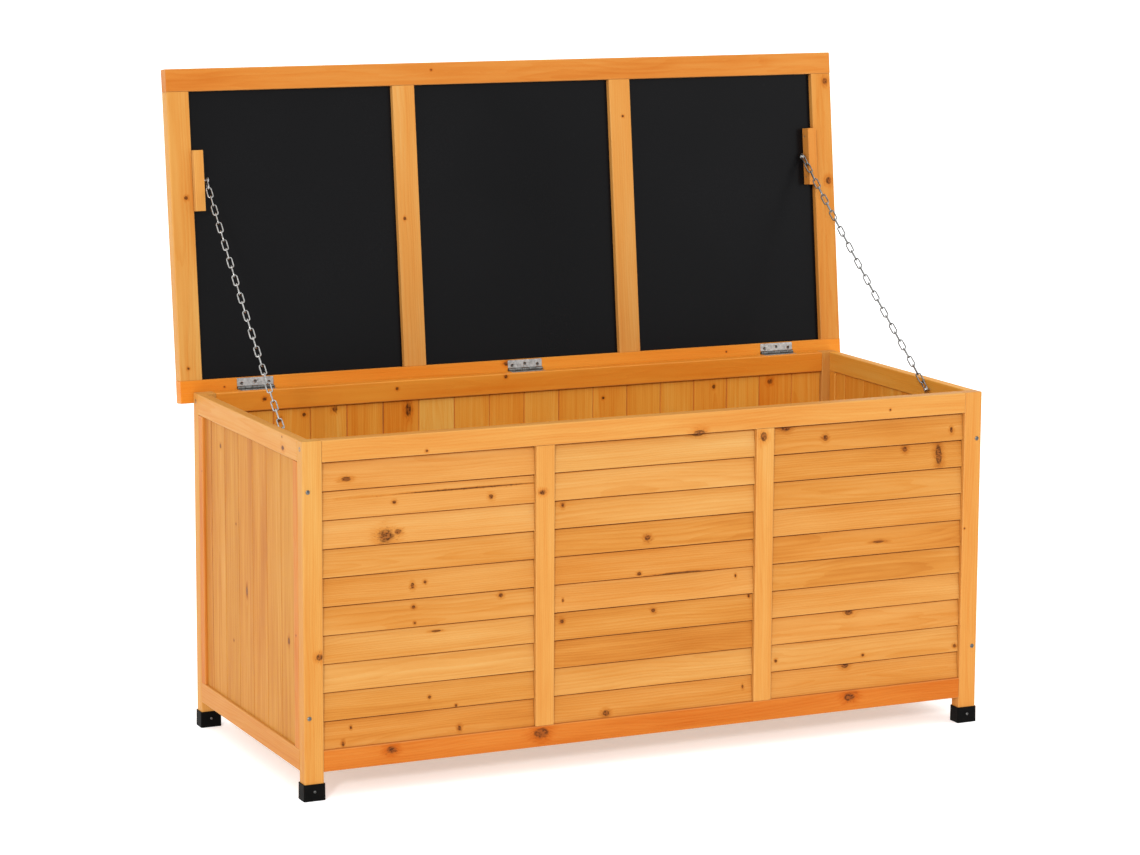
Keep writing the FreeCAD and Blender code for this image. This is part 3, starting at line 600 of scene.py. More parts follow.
# %% Slats
SLATS = 10
SLAT_LEAN = 5.2 * MM
SLAT_REBATE = 6.2 * MM
SLAT_LAP = 5.6 * MM
SLAT_GAP = 0.4 * MM
SLAT_END_GAP = 0.3 * MM
SLAT_BODY = 6.8 * MM
SLAT_ARRIS = 0.8 * MM
SLAT_UNEVEN = 0.5
SLAT_SHADES = {
    "left": (-0.9, -0.8, 1.0, 0.3, 0.3, 0.1, -0.3, 2.0, 0.8, 1.2),
    "middle": (-0.7, 0.4, -2.2, -1.0, 0.1, -0.7, -0.6, 0.6, 1.1, 2.0),
    "right": (0.0, 0.5, 0.4, 0.7, -1.2, -1.0, -0.2, -0.5, -0.9, -0.7),
}
SLAT_KNOTS = {
    "left": {
        1: [(47, 30, 2.6, 0.6), (33, 6, 3.4, 0.7), (228, 10, 3.8, 0.8)],
        2: [(178, 20, 2.4, 1.0), (222, 2, 2.4, 0.8)],
        4: [(190, 34, 1.6, 5.0)], 5: [(152, 31, 2.6, 1.1), (300, 36, 3.0, 1.2), (153, 6, 1.8, 1.0)],
        6: [(150, 20, 4.6, 0.62), (171, 24, 2.6, 0.9)], 8: [(106, 12, 9.5, 1.3), (126, 17, 4.0, 1.4)],
        9: [(120, 19, 2.6, 1.2), (282, 15, 3.8, 1.0), (245, 31, 1.2, 95.0)], 10: [(41, 16, 3.4, 2.2)],
    },
    "middle": {
        1: [(93, 7, 4.6, 1.2), (340, 25, 3.0, 0.5)],
        4: [(177, 32, 3.0, 1.1), (16, 29, 3.0, 1.1), (350, 40, 2.6, 0.7)],
        5: [(325, 31, 2.6, 0.6), (17, 18, 2.6, 0.6)], 6: [(150, 5, 2.6, 1.3), (225, 0.5, 1.5, 26.0)],
        7: [(165, 17, 4.6, 1.0)], 8: [(17, 36, 3.4, 0.7)], 10: [(254, 44, 4.0, 2.6)],
    },
    "right": {
        1: [(142, 42, 5.0, 1.3)], 2: [(174, 11, 2.2, 1.2), (11, 17, 2.6, 1.0), (350, 10, 3.0, 1.0)],
        3: [(147, 41, 5.0, 1.3)], 6: [(200, 20, 2.0, 5.0)], 9: [(248, 36, 4.2, 1.0), (312, 22, 16.0, 0.36)],
        10: [(97, 21, 4.4, 1.0), (335, 18, 4.4, 0.6), (24, 42, 5.0, 1.8)],
    },
}


def slat_outline(pitch, topmost):
    """(up, forward) corners from the lip: up the leaning face, over the lap, down the back and under the rebate."""
    top = pitch - SLAT_GAP
    lap = top if topmost else top + SLAT_LAP
    back = SLAT_LEAN + SLAT_BODY
    seat = SLAT_REBATE + SLAT_GAP
    corners = [(0, 0), (0, -SLAT_REBATE), (SLAT_LAP, -SLAT_REBATE), (SLAT_LAP, -back), (lap, -back)]
    corners += [] if topmost else [(lap, -seat), (top, -seat)]
    return np.array(corners + [(top, -SLAT_LEAN)])


for bay, shades in SLAT_SHADES.items():
    low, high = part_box("front_slats_" + bay)
    pitch = (high.z - low.z) / SLATS
    rows = []
    for row, shade in enumerate(shades):
        knots = SLAT_KNOTS[bay].get(row + 1, ())
        outline = slat_outline(pitch, row == SLATS - 1)
        stations = eased_ends(outline, high.x - low.x - 2 * SLAT_END_GAP, END_EASE)
        origin = (low.x + SLAT_END_GAP, low.y + dice.uniform(0, SLAT_UNEVEN) * MM, low.z + row * pitch)
        rows.append(swept(origin, X, Z, stations, SLAT_ARRIS, wood(shade, knots, 0.2)))
    finished("front_slats_" + bay, rows, "slat")
print("slats:", SLATS, "in each bay,", round(pitch / MM, 1), "mm apart")

# %% [markdown]
# ## Boards of the sides and the back
#
# The sides and the back are tongued and grooved boards, standing side by side in their frames. The
# small slopes on both edges make a V at each seam, which is all that shows of the joint. A board is
# one outline carried upwards. The panel's first and last boards are cut to fit.

# %% Matched boards
BOARD_COVER = 65.1 * MM
BOARD_THICK = 10 * MM
BOARD_VEE = 0.9 * MM
RAIL_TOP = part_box("front_bottom_rail")[1].z
RAIL_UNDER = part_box("front_top_rail")[0].z
TONGUE_LOW, TONGUE_HIGH, TONGUE = 3.5 * MM, 6.5 * MM, 3.3 * MM
GROOVE_FIT = 0.2 * MM
BOARD_GAP = 0.15 * MM
BOARD_TUCK = 1 * MM
BOARD_ARRIS, BOARD_END_EASE = 0.5 * MM, 0.4 * MM
SIDE_FIRST, BACK_FIRST = 32.4 * MM, 36.4 * MM
# Board tones, one for each board. The left side's are all lowered, painted shade that makes that side darker than the
# front. The right side's and the back's are all raised, painted light for the box's shaded inside.
LEFT_SHADES_PAINTED_DARKER = (-1.5, -1.2, -1.8, -1.1, -2.1, -1.4, -2.5)
RIGHT_SHADES_PAINTED_LIGHTER = (0.6, 1.2, 0.4, 1.6, 0.2, 1.0, 0.4)
BACK_SHADES_PAINTED_LIGHTER = (2.8, 2.4, 1.7, 1.6, 0.6, 0.8, 3.6, 2.0, 1.5, 1.8, 1.0, 1.3, 0.8, 0.7, 0.4, 1.7, 0.4, 2.0)
SIDE_KNOTS = {
    0: [(160, 34, 3.2, 1.6)], 3: [(200, 30, 3.0, 2.5)], 4: [(300, 14, 1.6, 1.0), (105, 30, 1.8, 1.0)],
    5: [(415, 20, 3.0, 1.2)],
}
BACK_KNOTS = {
    2: [(438, 54, 3.0, 1.0), (432, 10, 4.0, 1.2)], 3: [(443, 44, 4.5, 1.0)], 5: [(434, 46, 5.0, 2.2)],
    11: [(430, 20, 2.4, 1.0)], 16: [(438, 22, 5.0, 0.9)], 14: [(436, 40, 3.0, 1.2)],
}


def board_outline(wide, grooved, tongued):
    """(across, outward) corners: back, tongue on the far edge, sloped face, groove on the near edge."""
    corners = [(BOARD_VEE, -BOARD_THICK), (wide - BOARD_VEE, -BOARD_THICK), (wide, BOARD_VEE - BOARD_THICK)]
    if tongued:
        far = wide + TONGUE
        corners += [(wide, -TONGUE_HIGH), (far, -TONGUE_HIGH), (far, -TONGUE_LOW), (wide, -TONGUE_LOW)]
    corners += [(wide, -BOARD_VEE), (wide - BOARD_VEE, 0), (BOARD_VEE, 0), (0, -BOARD_VEE)]
    if grooved:
        deep = TONGUE + 2 * GROOVE_FIT
        top, bottom = GROOVE_FIT - TONGUE_LOW, -TONGUE_HIGH - GROOVE_FIT
        corners += [(0, top), (deep, top), (deep, bottom), (0, bottom)]
    return np.array(corners + [(0, BOARD_VEE - BOARD_THICK)])


def boarding(node, across, first, shades, knots, warm, finish="board"):
    """Boards side by side across a panel, with their ends just inside the rails."""
    low, high = (np.array(corner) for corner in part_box(node))
    outward = np.cross(Z, across)
    total = abs((high - low) @ across)
    low[2], high[2] = RAIL_TOP - BOARD_TUCK, RAIL_UNDER + BOARD_TUCK
    corner = np.where(across + outward > 0, low, high) + outward * abs((high - low) @ outward)
    corner[2] = low[2]
    boards, place = [], 0.0
    for number, shade in enumerate(shades):
        last = number == len(shades) - 1
        wide = first if number == 0 else total - place if last else BOARD_COVER
        outline = board_outline(wide - BOARD_GAP, number > 0, not last)
        facts = wood(shade, knots.get(number) or chance_knots(450, 20, 2, 2.6), 0.25, warm)
        stations = eased_ends(outline, high[2] - low[2], BOARD_END_EASE)
        boards.append(swept(corner + across * place, Z, across, stations, BOARD_ARRIS, facts))
        place += wide
    print(node, len(boards), "boards over", round(total / MM, 1), "mm")
    return finished(node, boards, finish)


boarding("back_boards", X, BACK_FIRST, BACK_SHADES_PAINTED_LIGHTER, BACK_KNOTS, (0.9, 1.4), "rear_board")
boarding("side_boards_left", Y, BOARD_COVER, LEFT_SHADES_PAINTED_DARKER, SIDE_KNOTS, (0.3, 0.6))
boarding("side_boards_right", -Y, SIDE_FIRST, RIGHT_SHADES_PAINTED_LIGHTER, {}, (0.6, 1.0), "rear_board")

# %% [markdown]
# ## Side frames and floor
#
# Each side panel has a top and a bottom rail between the legs and two narrow stiles beside them. The
# floor is plain sawn boards laid across three bearers, with a finger's gap for drying. Two sticks
# that share one engineering node become one piece with two solids.

# %% Side frames and floor
SIDE_STILE = 20 * MM
FLOOR_BOARDS = 13
FLOOR_GAP = 2 * MM
BEARER = 18 * MM
SAWN_ARRIS = 1 * MM
# Stile tones: the left lowered as painted shade, the right raised as painted light.
STILE_SHADES_PAINTED_LIGHT_AND_SHADE = {"left": -1.1, "right": 0.6}


def box_solid(low, high, along, across, facts, cut=ARRIS):
    """A squared timber between two corners."""
    low, high = np.array(low), np.array(high)
    size = high - low
    length, wide, deep = (abs(size @ axis) for axis in (along, across, np.cross(along, across)))
    stations = eased_ends(rectangle(wide, deep), length, min(END_EASE, cut))
    return swept((low + high) / 2 - along * length / 2, along, across, stations, cut, facts)


for side, sign in (("left", -1), ("right", 1)):
    # The right side's top rail and stiles take the rear finish: painted light for the box's shaded inside.
    finish = "frame" if sign < 0 else "rear_frame"
    squared("side_top_rail_" + side, Y * sign, Z, wood(1.4, chance_knots(463, 30), warm=(0.5, 0.9)), finish)
    squared("side_bottom_rail_" + side, Y * sign, Z, wood(-0.1, chance_knots(463, 30, 1)))
    low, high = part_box("side_stiles_" + side)
    stiles = []
    for y0, y1 in ((low.y, low.y + SIDE_STILE), (high.y - SIDE_STILE, high.y)):
        facts = wood(STILE_SHADES_PAINTED_LIGHT_AND_SHADE[side], chance_knots(450, 16, 1), warm=(0.6, 1.0))
        stiles.append(box_solid((low.x, y0, low.z), (high.x, y1, high.z), Z, Y * -sign, facts))
    finished("side_stiles_" + side, stiles, finish)

low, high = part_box("floor_bearers")
middle = (low.y + high.y) / 2
bearers = []
for y in (low.y + BEARER / 2, middle, high.y - BEARER / 2):
    ends = (low.x, y - BEARER / 2, low.z), (high.x, y + BEARER / 2, high.z)
    bearers.append(box_solid(*ends, X, Z, wood(-0.5, chance_knots(1160, 16)), SAWN_ARRIS))
finished("floor_bearers", bearers, "floor")
low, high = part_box("floor_boards")
pitch = (high.x - low.x + FLOOR_GAP) / FLOOR_BOARDS
planks = []
for x in low.x + pitch * np.arange(FLOOR_BOARDS):
    ends = (x, low.y, low.z), (x + pitch - FLOOR_GAP, high.y, high.z)
    planks.append(box_solid(*ends, Y, -X, wood(0, chance_knots(460, 80)), SAWN_ARRIS))
finished("floor_boards", planks, "floor")
print("floor board", round((pitch - FLOOR_GAP) / MM, 1), "mm wide")

# %% [markdown]
# ## Rails let in for the hinges
#
# Three hinges join the lid's rear rail to the back of the box. Each leaf is let in flush, so the rail
# has three shallow housings. A swept rail can have them without any cutting: its outline has spare
# corners that lie along the face, and at a hinge two stations at the same place step those corners
# down to the housing's floor.

# %% The back's top rail
HINGE_PLACES = (-0.49, 0.0, 0.49)
HINGE_LONG = 63.5 * MM
LEAF_WIDE = 16.5 * MM
LEAF_THICK = 1.4 * MM
KNUCKLE_R = 2.9 * MM
LEAF_FIT = 0.3 * MM
LEAF_ROOM = 0.05 * MM
BACK_RAIL_KNOTS = [(84, 2, 3.0, 1.2), (320, 4, 2.6, 1.0), (520, 12, 3.0, 1.0)]


def housed_stations(plain, housed, length, ease):
    """Stations of a rail that wears the housed outline at each hinge and the plain one elsewhere."""
    between = []
    for middle in HINGE_PLACES:
        for end, first, second in ((-1, plain, housed), (1, housed, plain)):
            distance = length / 2 + middle + end * (HINGE_LONG / 2 + LEAF_FIT)
            between += [(distance, first), (distance, second)]
    return eased_ends(plain, length, ease, between)


low, high = (np.array(corner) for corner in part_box("back_top_rail"))
tall, deep = high[2] - low[2], high[1] - low[1]
leaf_edge = (low[1] + high[1]) / 2 - (PIN_Y - LEAF_WIDE - LEAF_FIT)
floor_level = tall / 2 - LEAF_THICK - LEAF_ROOM
plain = np.array([
    (-tall / 2, -deep / 2), (tall / 2, -deep / 2), (tall / 2, leaf_edge - LEAF_FIT), (tall / 2, leaf_edge),
    (tall / 2, deep / 2), (-tall / 2, deep / 2),
])
housed = plain.copy()
housed[1, 0] = housed[2, 0] = floor_level
housed[2, 1] = leaf_edge
stations = housed_stations(plain, housed, high[0] - low[0], END_EASE)
origin = (low[0], (low[1] + high[1]) / 2, (low[2] + high[2]) / 2)
facts = wood(-0.5, BACK_RAIL_KNOTS, warm=(1.1, 1.4))
finished("back_top_rail", [swept(origin, X, Z, stations, ARRIS, facts)], "rear_frame")
print("back rail with", len(HINGE_PLACES), "housings", round(LEAF_THICK / MM, 2), "mm deep")

# %% [markdown]
# ## The lid
#
# The lid leans back a little past upright, so its timbers are not square to the axes. They are made
# in the lid's own directions instead: across the box, up the lid from the hinge pins, and out of the
# lid's back. A point is worked out from three distances, and the engineering model's closed lid gives
# all of them.

# %% The lid's frame
LEAN = math.radians(6.33)
UP_LID = np.array((0, math.sin(LEAN), math.cos(LEAN)))
OUT_LID = np.array((0, math.cos(LEAN), -math.sin(LEAN)))
PINS = np.array((0, PIN_Y, PIN_Z))
LID_HALF = 620 * MM
LID_FACE, LID_BACK = 1.5 * MM, 25.5 * MM
LID_TOP, LID_FOOT = 529 * MM, -20 * MM
RAIL_WIDE, STILE_WIDE, MULLION_WIDE, MULLION_AT = 37.5 * MM, 38.5 * MM, 40 * MM, 202 * MM
PANEL_FACE, PANEL_THICK = 12 * MM, 4 * MM
BLOCK_WIDE, BLOCK_TALL, BLOCK_LONG, BLOCK_AT = 16.5 * MM, 21 * MM, 100 * MM, 345 * MM
BLOCK_ARRIS = 0.8 * MM
KNUCKLE_ROOM = 0.5 * MM


def lid_point(x, up_lid, out_lid):
    return PINS + X * x + UP_LID * up_lid + OUT_LID * out_lid


def lid_rail(node, start, facts, stations=None, finish="frame"):
    """A rail across the lid. Its outline is (up the lid, towards the box)."""
    deep = LID_BACK - LID_FACE
    stations = stations or eased_ends(rectangle(RAIL_WIDE, deep), 2 * LID_HALF, END_EASE)
    origin = lid_point(-LID_HALF, start + RAIL_WIDE / 2, (LID_FACE + LID_BACK) / 2)
    return finished(node, [swept(origin, X, UP_LID, stations, ARRIS, facts)], finish)


def lid_upright(x0, x1, low, high, face, back, facts, cut=ARRIS):
    """A stick up the lid between two distances across it, and between two through it."""
    stations = eased_ends(rectangle(x1 - x0, back - face), high - low, min(END_EASE, cut))
    origin = lid_point((x0 + x1) / 2, low, (face + back) / 2)
    return swept(origin, UP_LID, -X, stations, cut, facts)


lid_rail("lid_front_rail", LID_TOP - RAIL_WIDE, wood(-0.6, [(470, 6, 1.6, 1.0)], warm=(0.0, 0.8)))
half, deep = RAIL_WIDE / 2, (LID_BACK - LID_FACE) / 2
leaf_top = LEAF_WIDE + LEAF_FIT - (LID_FOOT + half)
leaf_foot = -KNUCKLE_R - KNUCKLE_ROOM - (LID_FOOT + half)
spare = 0.3 * MM
plain = np.array([
    (-half, -deep), (half, -deep), (half, deep), (leaf_top, deep), (leaf_top - spare, deep),
    (leaf_foot + spare, deep), (leaf_foot, deep), (-half, deep),
])
housed = plain.copy()
housed[4:6, 1] = deep - LEAF_THICK - LEAF_ROOM
housed[4, 0], housed[5, 0] = leaf_top, leaf_foot
stations = housed_stations(plain, housed, 2 * LID_HALF, END_EASE)
foot_facts = wood(-0.9, [(76, 5, 1.4, 1.0), (586, 13, 4.0, 1.3), (1010, 8, 1.6, 1.0)], warm=(1.1, 1.4))
lid_rail("lid_rear_rail", LID_FOOT, foot_facts, stations, "rear_frame")

opening = (LID_FOOT + RAIL_WIDE, LID_TOP - RAIL_WIDE)
stile_knots = {
    "left": [(20, 4, 2.0, 1.0), (300, -6, 3.0, 1.0)], "right": [(283, -8, 5.0, 1.2), (460, -8, 4.5, 1.2)],
}
mullion_knots = {"left": [(250, 8, 2.5, 1.2)], "right": [(410, -4, 2.0, 1.0)]}
for side, sign in (("left", -1), ("right", 1)):
    x0, x1 = sorted((sign * LID_HALF, sign * (LID_HALF - STILE_WIDE)))
    facts = wood(1.0 if sign < 0 else -1.3, stile_knots[side], warm=(0.0, 0.5))
    finished("lid_stile_" + side, [lid_upright(x0, x1, *opening, LID_FACE, LID_BACK, facts)], "frame")
    x0, x1 = sign * MULLION_AT - MULLION_WIDE / 2, sign * MULLION_AT + MULLION_WIDE / 2
    facts = wood(0.8, mullion_knots[side], warm=(0.5, 0.8))
    finished("lid_mullion_" + side, [lid_upright(x0, x1, *opening, LID_FACE, LID_BACK, facts)], "frame")
    face = sign * (LID_HALF - STILE_WIDE)
    x0, x1 = sorted((face, face - sign * BLOCK_WIDE))
    ends = (BLOCK_AT - BLOCK_LONG / 2, BLOCK_AT + BLOCK_LONG / 2)
    facts = wood(1.8) if sign < 0 else wood(0.2, warm=(0.7, 0.9))
    block = lid_upright(x0, x1, *ends, PANEL_FACE - BLOCK_TALL, PANEL_FACE, facts, BLOCK_ARRIS)
    finished("chain_block_" + side, [block], "frame")
print("lid frame", round(2 * LID_HALF, 3), "by", round(LID_TOP - LID_FOOT, 3), "m")

# %% [markdown]
# ## The black sheets
#
# Three sheets sit in grooves round the openings, so each one runs a little way into the timber on
# every side. They are the same kind of solid as the timbers, only thin and wide.

# %% Sheets
SHEET_TUCK = 3 * MM
SHEET_ARRIS = 0.4 * MM
bay_edges = {
    "left": (STILE_WIDE - LID_HALF, -MULLION_AT - MULLION_WIDE / 2),
    "middle": (MULLION_WIDE / 2 - MULLION_AT, MULLION_AT - MULLION_WIDE / 2),
    "right": (MULLION_AT + MULLION_WIDE / 2, LID_HALF - STILE_WIDE),
}
for bay, (x0, x1) in bay_edges.items():
    ends = (opening[0] - SHEET_TUCK, opening[1] + SHEET_TUCK)
    through = (PANEL_FACE, PANEL_FACE + PANEL_THICK)
    sheet = lid_upright(x0 - SHEET_TUCK, x1 + SHEET_TUCK, *ends, *through, {}, SHEET_ARRIS)
    finished("lid_panel_" + bay, [sheet], "sheet")
print("sheets", round((opening[1] - opening[0]) / MM), "mm tall")

# %% [markdown]
# ## Foot caps
#
# Each leg stands in a moulded cup. One rounded square is carried from the middle of the base out
# and up the outside, over the rim and down the inside: a list of heights and insets is the cup's
# wall, with a soft lower edge and a slight taper so that it leaves its mould.

# %% Caps
CAP_WALL = 1.9 * MM
CAP_FLOOR = 3 * MM
CAP_TAPER = 0.25 * MM
CAP_CORNER = 2.2 * MM
for corner in LEG_KNOTS:
    node = "foot_cap_" + corner
    low, high = (np.array(v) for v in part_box(node))
    wide, deep, tall = high - low
    outer = rectangle(wide, deep)
    path = [
        (0, 1.1 * MM), (0.3 * MM, 0.35 * MM), (1.1 * MM, 0), (tall - 0.6 * MM, CAP_TAPER),
        (tall - 0.15 * MM, CAP_TAPER + 0.2 * MM), (tall, CAP_TAPER + 0.6 * MM), (tall, CAP_WALL - 0.5 * MM),
        (tall - 0.4 * MM, CAP_WALL), (CAP_FLOOR, CAP_WALL),
    ]
    stations = [(height, shrink(outer, inset)) for height, inset in path]
    origin = ((low[0] + high[0]) / 2, (low[1] + high[1]) / 2, 0)
    finished(node, [swept(origin, Z, X, stations, CAP_CORNER, {})], "cap")
print("caps", np.round(np.array((wide, deep, tall)) / MM, 1), "mm")

# %% [markdown]
# ## Turned hardware
#
# Screws, bolts, washers, knuckles and pins are turned shapes: a list of distances and radii spun round
# an axis. A cross recess is pressed into each screw's head by lowering the points that lie within two
# narrow bars crossing at its middle.

# %% Turning
AROUND = 32
CROWN_STEPS = 14
RECESS_DEEP = 0.7 * MM


def turned(origin, axis, profile, cross=None):
    """Point = origin + axis * d + r (cos a, sin a) in the plane across it, for each (d, r) of the profile.

    cross is (bar half width, bar half length, depth): points within either bar of the last half of the
    profile are lowered by up to the depth.
    """
    axis = np.array(axis, float)
    side = np.cross(axis, Z if abs(axis[2]) < 0.9 else X)
    side /= np.linalg.norm(side)
    other = np.cross(axis, side)
    angle = np.arange(AROUND) * 2 * np.pi / AROUND
    profile = np.array(profile, float)
    p, q = profile[:, 1:] * np.cos(angle), profile[:, 1:] * np.sin(angle)
    distance = np.broadcast_to(profile[:, :1], p.shape).copy()
    if cross:
        half_wide, half_long, depth = cross
        near, far = np.minimum(abs(p), abs(q)), np.maximum(abs(p), abs(q))
        bar = np.clip((half_wide - near) / (0.4 * half_wide) + 0.5, 0, 1)
        bar *= np.clip((half_long - far) / (0.2 * half_long) + 0.5, 0, 1)
        top = np.arange(len(profile))[:, None] >= len(profile) - CROWN_STEPS
        distance -= depth * bar * top
    points = np.array(origin, float) + distance[..., None] * axis + p[..., None] * side + q[..., None] * other
    return {"points": points.reshape(-1, 3), "faces": ring_faces(len(profile), AROUND)}


def crown(radius, tall, start=0.0):
    """A domed head from its rim to its middle: height = start + tall (1 - (r / radius)^3)."""
    r = np.linspace(1, 0.03, CROWN_STEPS) * radius
    return np.stack([start + tall * (1 - (r / radius) ** 3), r], 1).tolist()


def pan_screw(seat, out, radius, tall, shank, length):
    """A round-headed screw: its pointed shank goes into the timber and its head sits on the seat."""
    shaft = [(-length, shank * 0.1), (-length + 2 * shank, shank), (0, shank), (0, radius * 0.94)]
    head = [(tall * 0.25, radius)] + crown(radius, tall * 0.72, tall * 0.28)
    return turned(seat, out, shaft + head, (radius * 0.15, radius * 0.6, tall * 0.55))


def flat_screw(seat, out, radius, shank, length, proud=0.12 * MM):
    """A countersunk screw, its head level with the seat."""
    cone = radius - shank
    shaft = [(-length, shank * 0.1), (-length + 2 * shank, shank), (-cone, shank), (-0.1 * MM, radius * 0.97)]
    return turned(seat, out, shaft + crown(radius, proud), (radius * 0.15, radius * 0.62, RECESS_DEEP))


# %% Bolts and screws of the box
BOLT_Z = (131 * MM, 484 * MM)
BOLT_INSET = 8.5 * MM
END_SCREW_DROP = 13 * MM
CAP_SCREW_Z = 15 * MM
# Pan screws: radius and height of the head, radius of the shank, length. Flat ones have no head height.
BOLT = (3.5 * MM, 1.8 * MM, 2.2 * MM, 36 * MM)
CAP_SCREW = (2.2 * MM, 1.5 * MM, 1.2 * MM, 15 * MM)
END_SCREW = (3.6 * MM, 1.8 * MM, 50 * MM)
bolts, end_screws, cap_screws = [], [], []
for corner in LEG_KNOTS:
    low, high = (np.array(v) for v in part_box("leg_" + corner))
    outer_x = low[0] if "left" in corner else high[0]
    inwards = 1 if "left" in corner else -1
    outer_y, out_y = (low[1], -Y) if "front" in corner else (high[1], Y)
    for z in BOLT_Z:
        bolts.append(pan_screw((outer_x + inwards * BOLT_INSET, outer_y, z), out_y, *BOLT))
    end_seat = (outer_x, (low[1] + high[1]) / 2, high[2] - END_SCREW_DROP)
    end_screws.append(flat_screw(end_seat, X * -inwards, *END_SCREW))
    cap_low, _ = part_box("foot_cap_" + corner)
    cap_screws.append(pan_screw(((low[0] + high[0]) / 2, cap_low.y, CAP_SCREW_Z), -Y, *CAP_SCREW))
finished("side_panel_bolts", bolts, "screw")
finished("rail_end_screws", end_screws, "screw")
finished("foot_cap_screws", cap_screws, "screw")
print("bolts", len(bolts), "end screws", len(end_screws), "cap screws", len(cap_screws))

# %% Screws, washers and nails of the chains
STANDOFF = 7.65 * MM
WASHER_THICK = 1.2 * MM
WASHER_R = 5.8 * MM
CHAIN_SHANK_R = 1.6 * MM
CHAIN_BOX_Y = -0.156696
CHAIN_BOX_Z = 546 * MM
SIDE_FACE = 583 * MM
NAIL_AT = 36 * MM
NAIL = (1.9 * MM, 0.9 * MM, 30 * MM, 0.2 * MM)
WASHER_EASE = 0.2 * MM
CHAIN_SCREW = (3.6 * MM, 2.2 * MM, CHAIN_SHANK_R, 19.8 * MM)


def chain_fixing(face, out):
    """A long screw with a washer under its head, standing off the timber so that a link can hang behind."""
    bored = [
        (0, CHAIN_SHANK_R), (0, WASHER_R - WASHER_EASE), (WASHER_EASE, WASHER_R),
        (WASHER_THICK - WASHER_EASE, WASHER_R), (WASHER_THICK, WASHER_R - WASHER_EASE), (WASHER_THICK, CHAIN_SHANK_R),
    ]
    seat = np.array(face) + np.array(out) * STANDOFF
    head = seat + np.array(out) * WASHER_THICK
    return pan_screw(head, out, *CHAIN_SCREW), turned(seat, out, bored)


box_fixings, lid_fixings, nails = [], [], []
for sign in (-1, 1):
    box_fixings.append(chain_fixing((sign * SIDE_FACE, CHAIN_BOX_Y, CHAIN_BOX_Z), -sign * X))
    block_face = sign * (LID_HALF - STILE_WIDE - BLOCK_WIDE)
    lid_fixings.append(chain_fixing(lid_point(block_face, BLOCK_AT, PANEL_FACE - BLOCK_TALL / 2), -sign * X))
    for along in (-NAIL_AT, NAIL_AT):
        seat = lid_point(block_face, BLOCK_AT + along, PANEL_FACE - 0.36 * BLOCK_TALL)
        nails.append(flat_screw(seat, -sign * X, *NAIL))
for place, fixings in (("box", box_fixings), ("lid", lid_fixings)):
    finished("chain_screws_" + place, [screw for screw, _ in fixings], "zinc")
    finished("chain_washers_" + place, [washer for _, washer in fixings], "zinc")
finished("chain_block_nails", nails, "screw")
print("chain fixings", len(box_fixings) + len(lid_fixings), "nails", len(nails))

# %% [markdown]
# ## Hinges
#
# A leaf is pressed sheet with three countersunk holes and alternate knuckles rolled round the pin. A
# flat curve is the simplest way to a plate with holes: Blender fills between the outline and the
# circles, gives it thickness and a fine bevel, and it is then made a mesh and laid in place.

# %% Hinge leaves
KNUCKLES = 5
KNUCKLE_GAP = 0.4 * MM
HOLES = ((8.0, 7.5), (31.75, 9.8), (55.5, 7.5))
HOLE_R = 2.9 * MM
HOLE_CORNERS = 28
LEAF_BEVEL = 0.12 * MM
KNUCKLE_SOFT = 0.25 * MM
HINGE_SCREW = (2.4 * MM, 1.3 * MM, 12 * MM, -0.3 * MM)
RIVET_R, RIVET_NECK_R, RIVET_END = 2.0 * MM, 1.45 * MM, 0.9 * MM


def leaf_outline(first_knuckle):
    """The plate's corners (along, away from the pin), with a tab at every other knuckle."""
    step = HINGE_LONG / KNUCKLES
    root, corner = KNUCKLE_R + KNUCKLE_GAP, 1.0 * MM
    points = []
    for number in range(first_knuckle, KNUCKLES, 2):
        a = number * step + (KNUCKLE_GAP / 2 if number else 0)
        b = (number + 1) * step - (KNUCKLE_GAP / 2 if number < KNUCKLES - 1 else 0)
        points += [(a, root), (a, 0), (b, 0), (b, root)]
    points = points[1:-1] if first_knuckle == 0 else [(0, root)] + points + [(HINGE_LONG, root)]
    points += [(HINGE_LONG, LEAF_WIDE - corner), (HINGE_LONG - corner, LEAF_WIDE)]
    return points + [(corner, LEAF_WIDE), (0, LEAF_WIDE - corner)]


def plate(outline, holes):
    """Vertices and faces of a bevelled plate, from a flat curve with round holes."""
    curve = bpy.data.curves.new("plate", "CURVE")
    curve.dimensions, curve.fill_mode = "2D", "BOTH"
    curve.extrude, curve.bevel_depth = LEAF_THICK / 2 - LEAF_BEVEL, LEAF_BEVEL
    curve.bevel_resolution, curve.offset = 1, -LEAF_BEVEL
    angle = np.linspace(0, 2 * np.pi, HOLE_CORNERS + 1)[:-1]
    rings = [np.array(outline)] + [
        np.stack([x * MM + HOLE_R * np.cos(angle), y * MM + HOLE_R * np.sin(angle)], 1) for x, y in holes
    ]
    for ring in rings:
        spline = curve.splines.new("POLY")
        spline.points.add(len(ring) - 1)
        spline.points.foreach_set("co", np.pad(ring, ((0, 0), (0, 2))).ravel())
        spline.use_cyclic_u = True
    drawn = bpy.data.objects.new("plate", curve)
    bpy.context.scene.collection.objects.link(drawn)
    bpy.context.view_layer.update()
    mesh = bpy.data.meshes.new_from_object(drawn.evaluated_get(bpy.context.evaluated_depsgraph_get()))
    points = np.zeros(len(mesh.vertices) * 3)
    mesh.vertices.foreach_get("co", points)
    faces = [list(face.vertices) for face in mesh.polygons]
    bpy.data.objects.remove(drawn)
    return points.reshape(-1, 3), faces


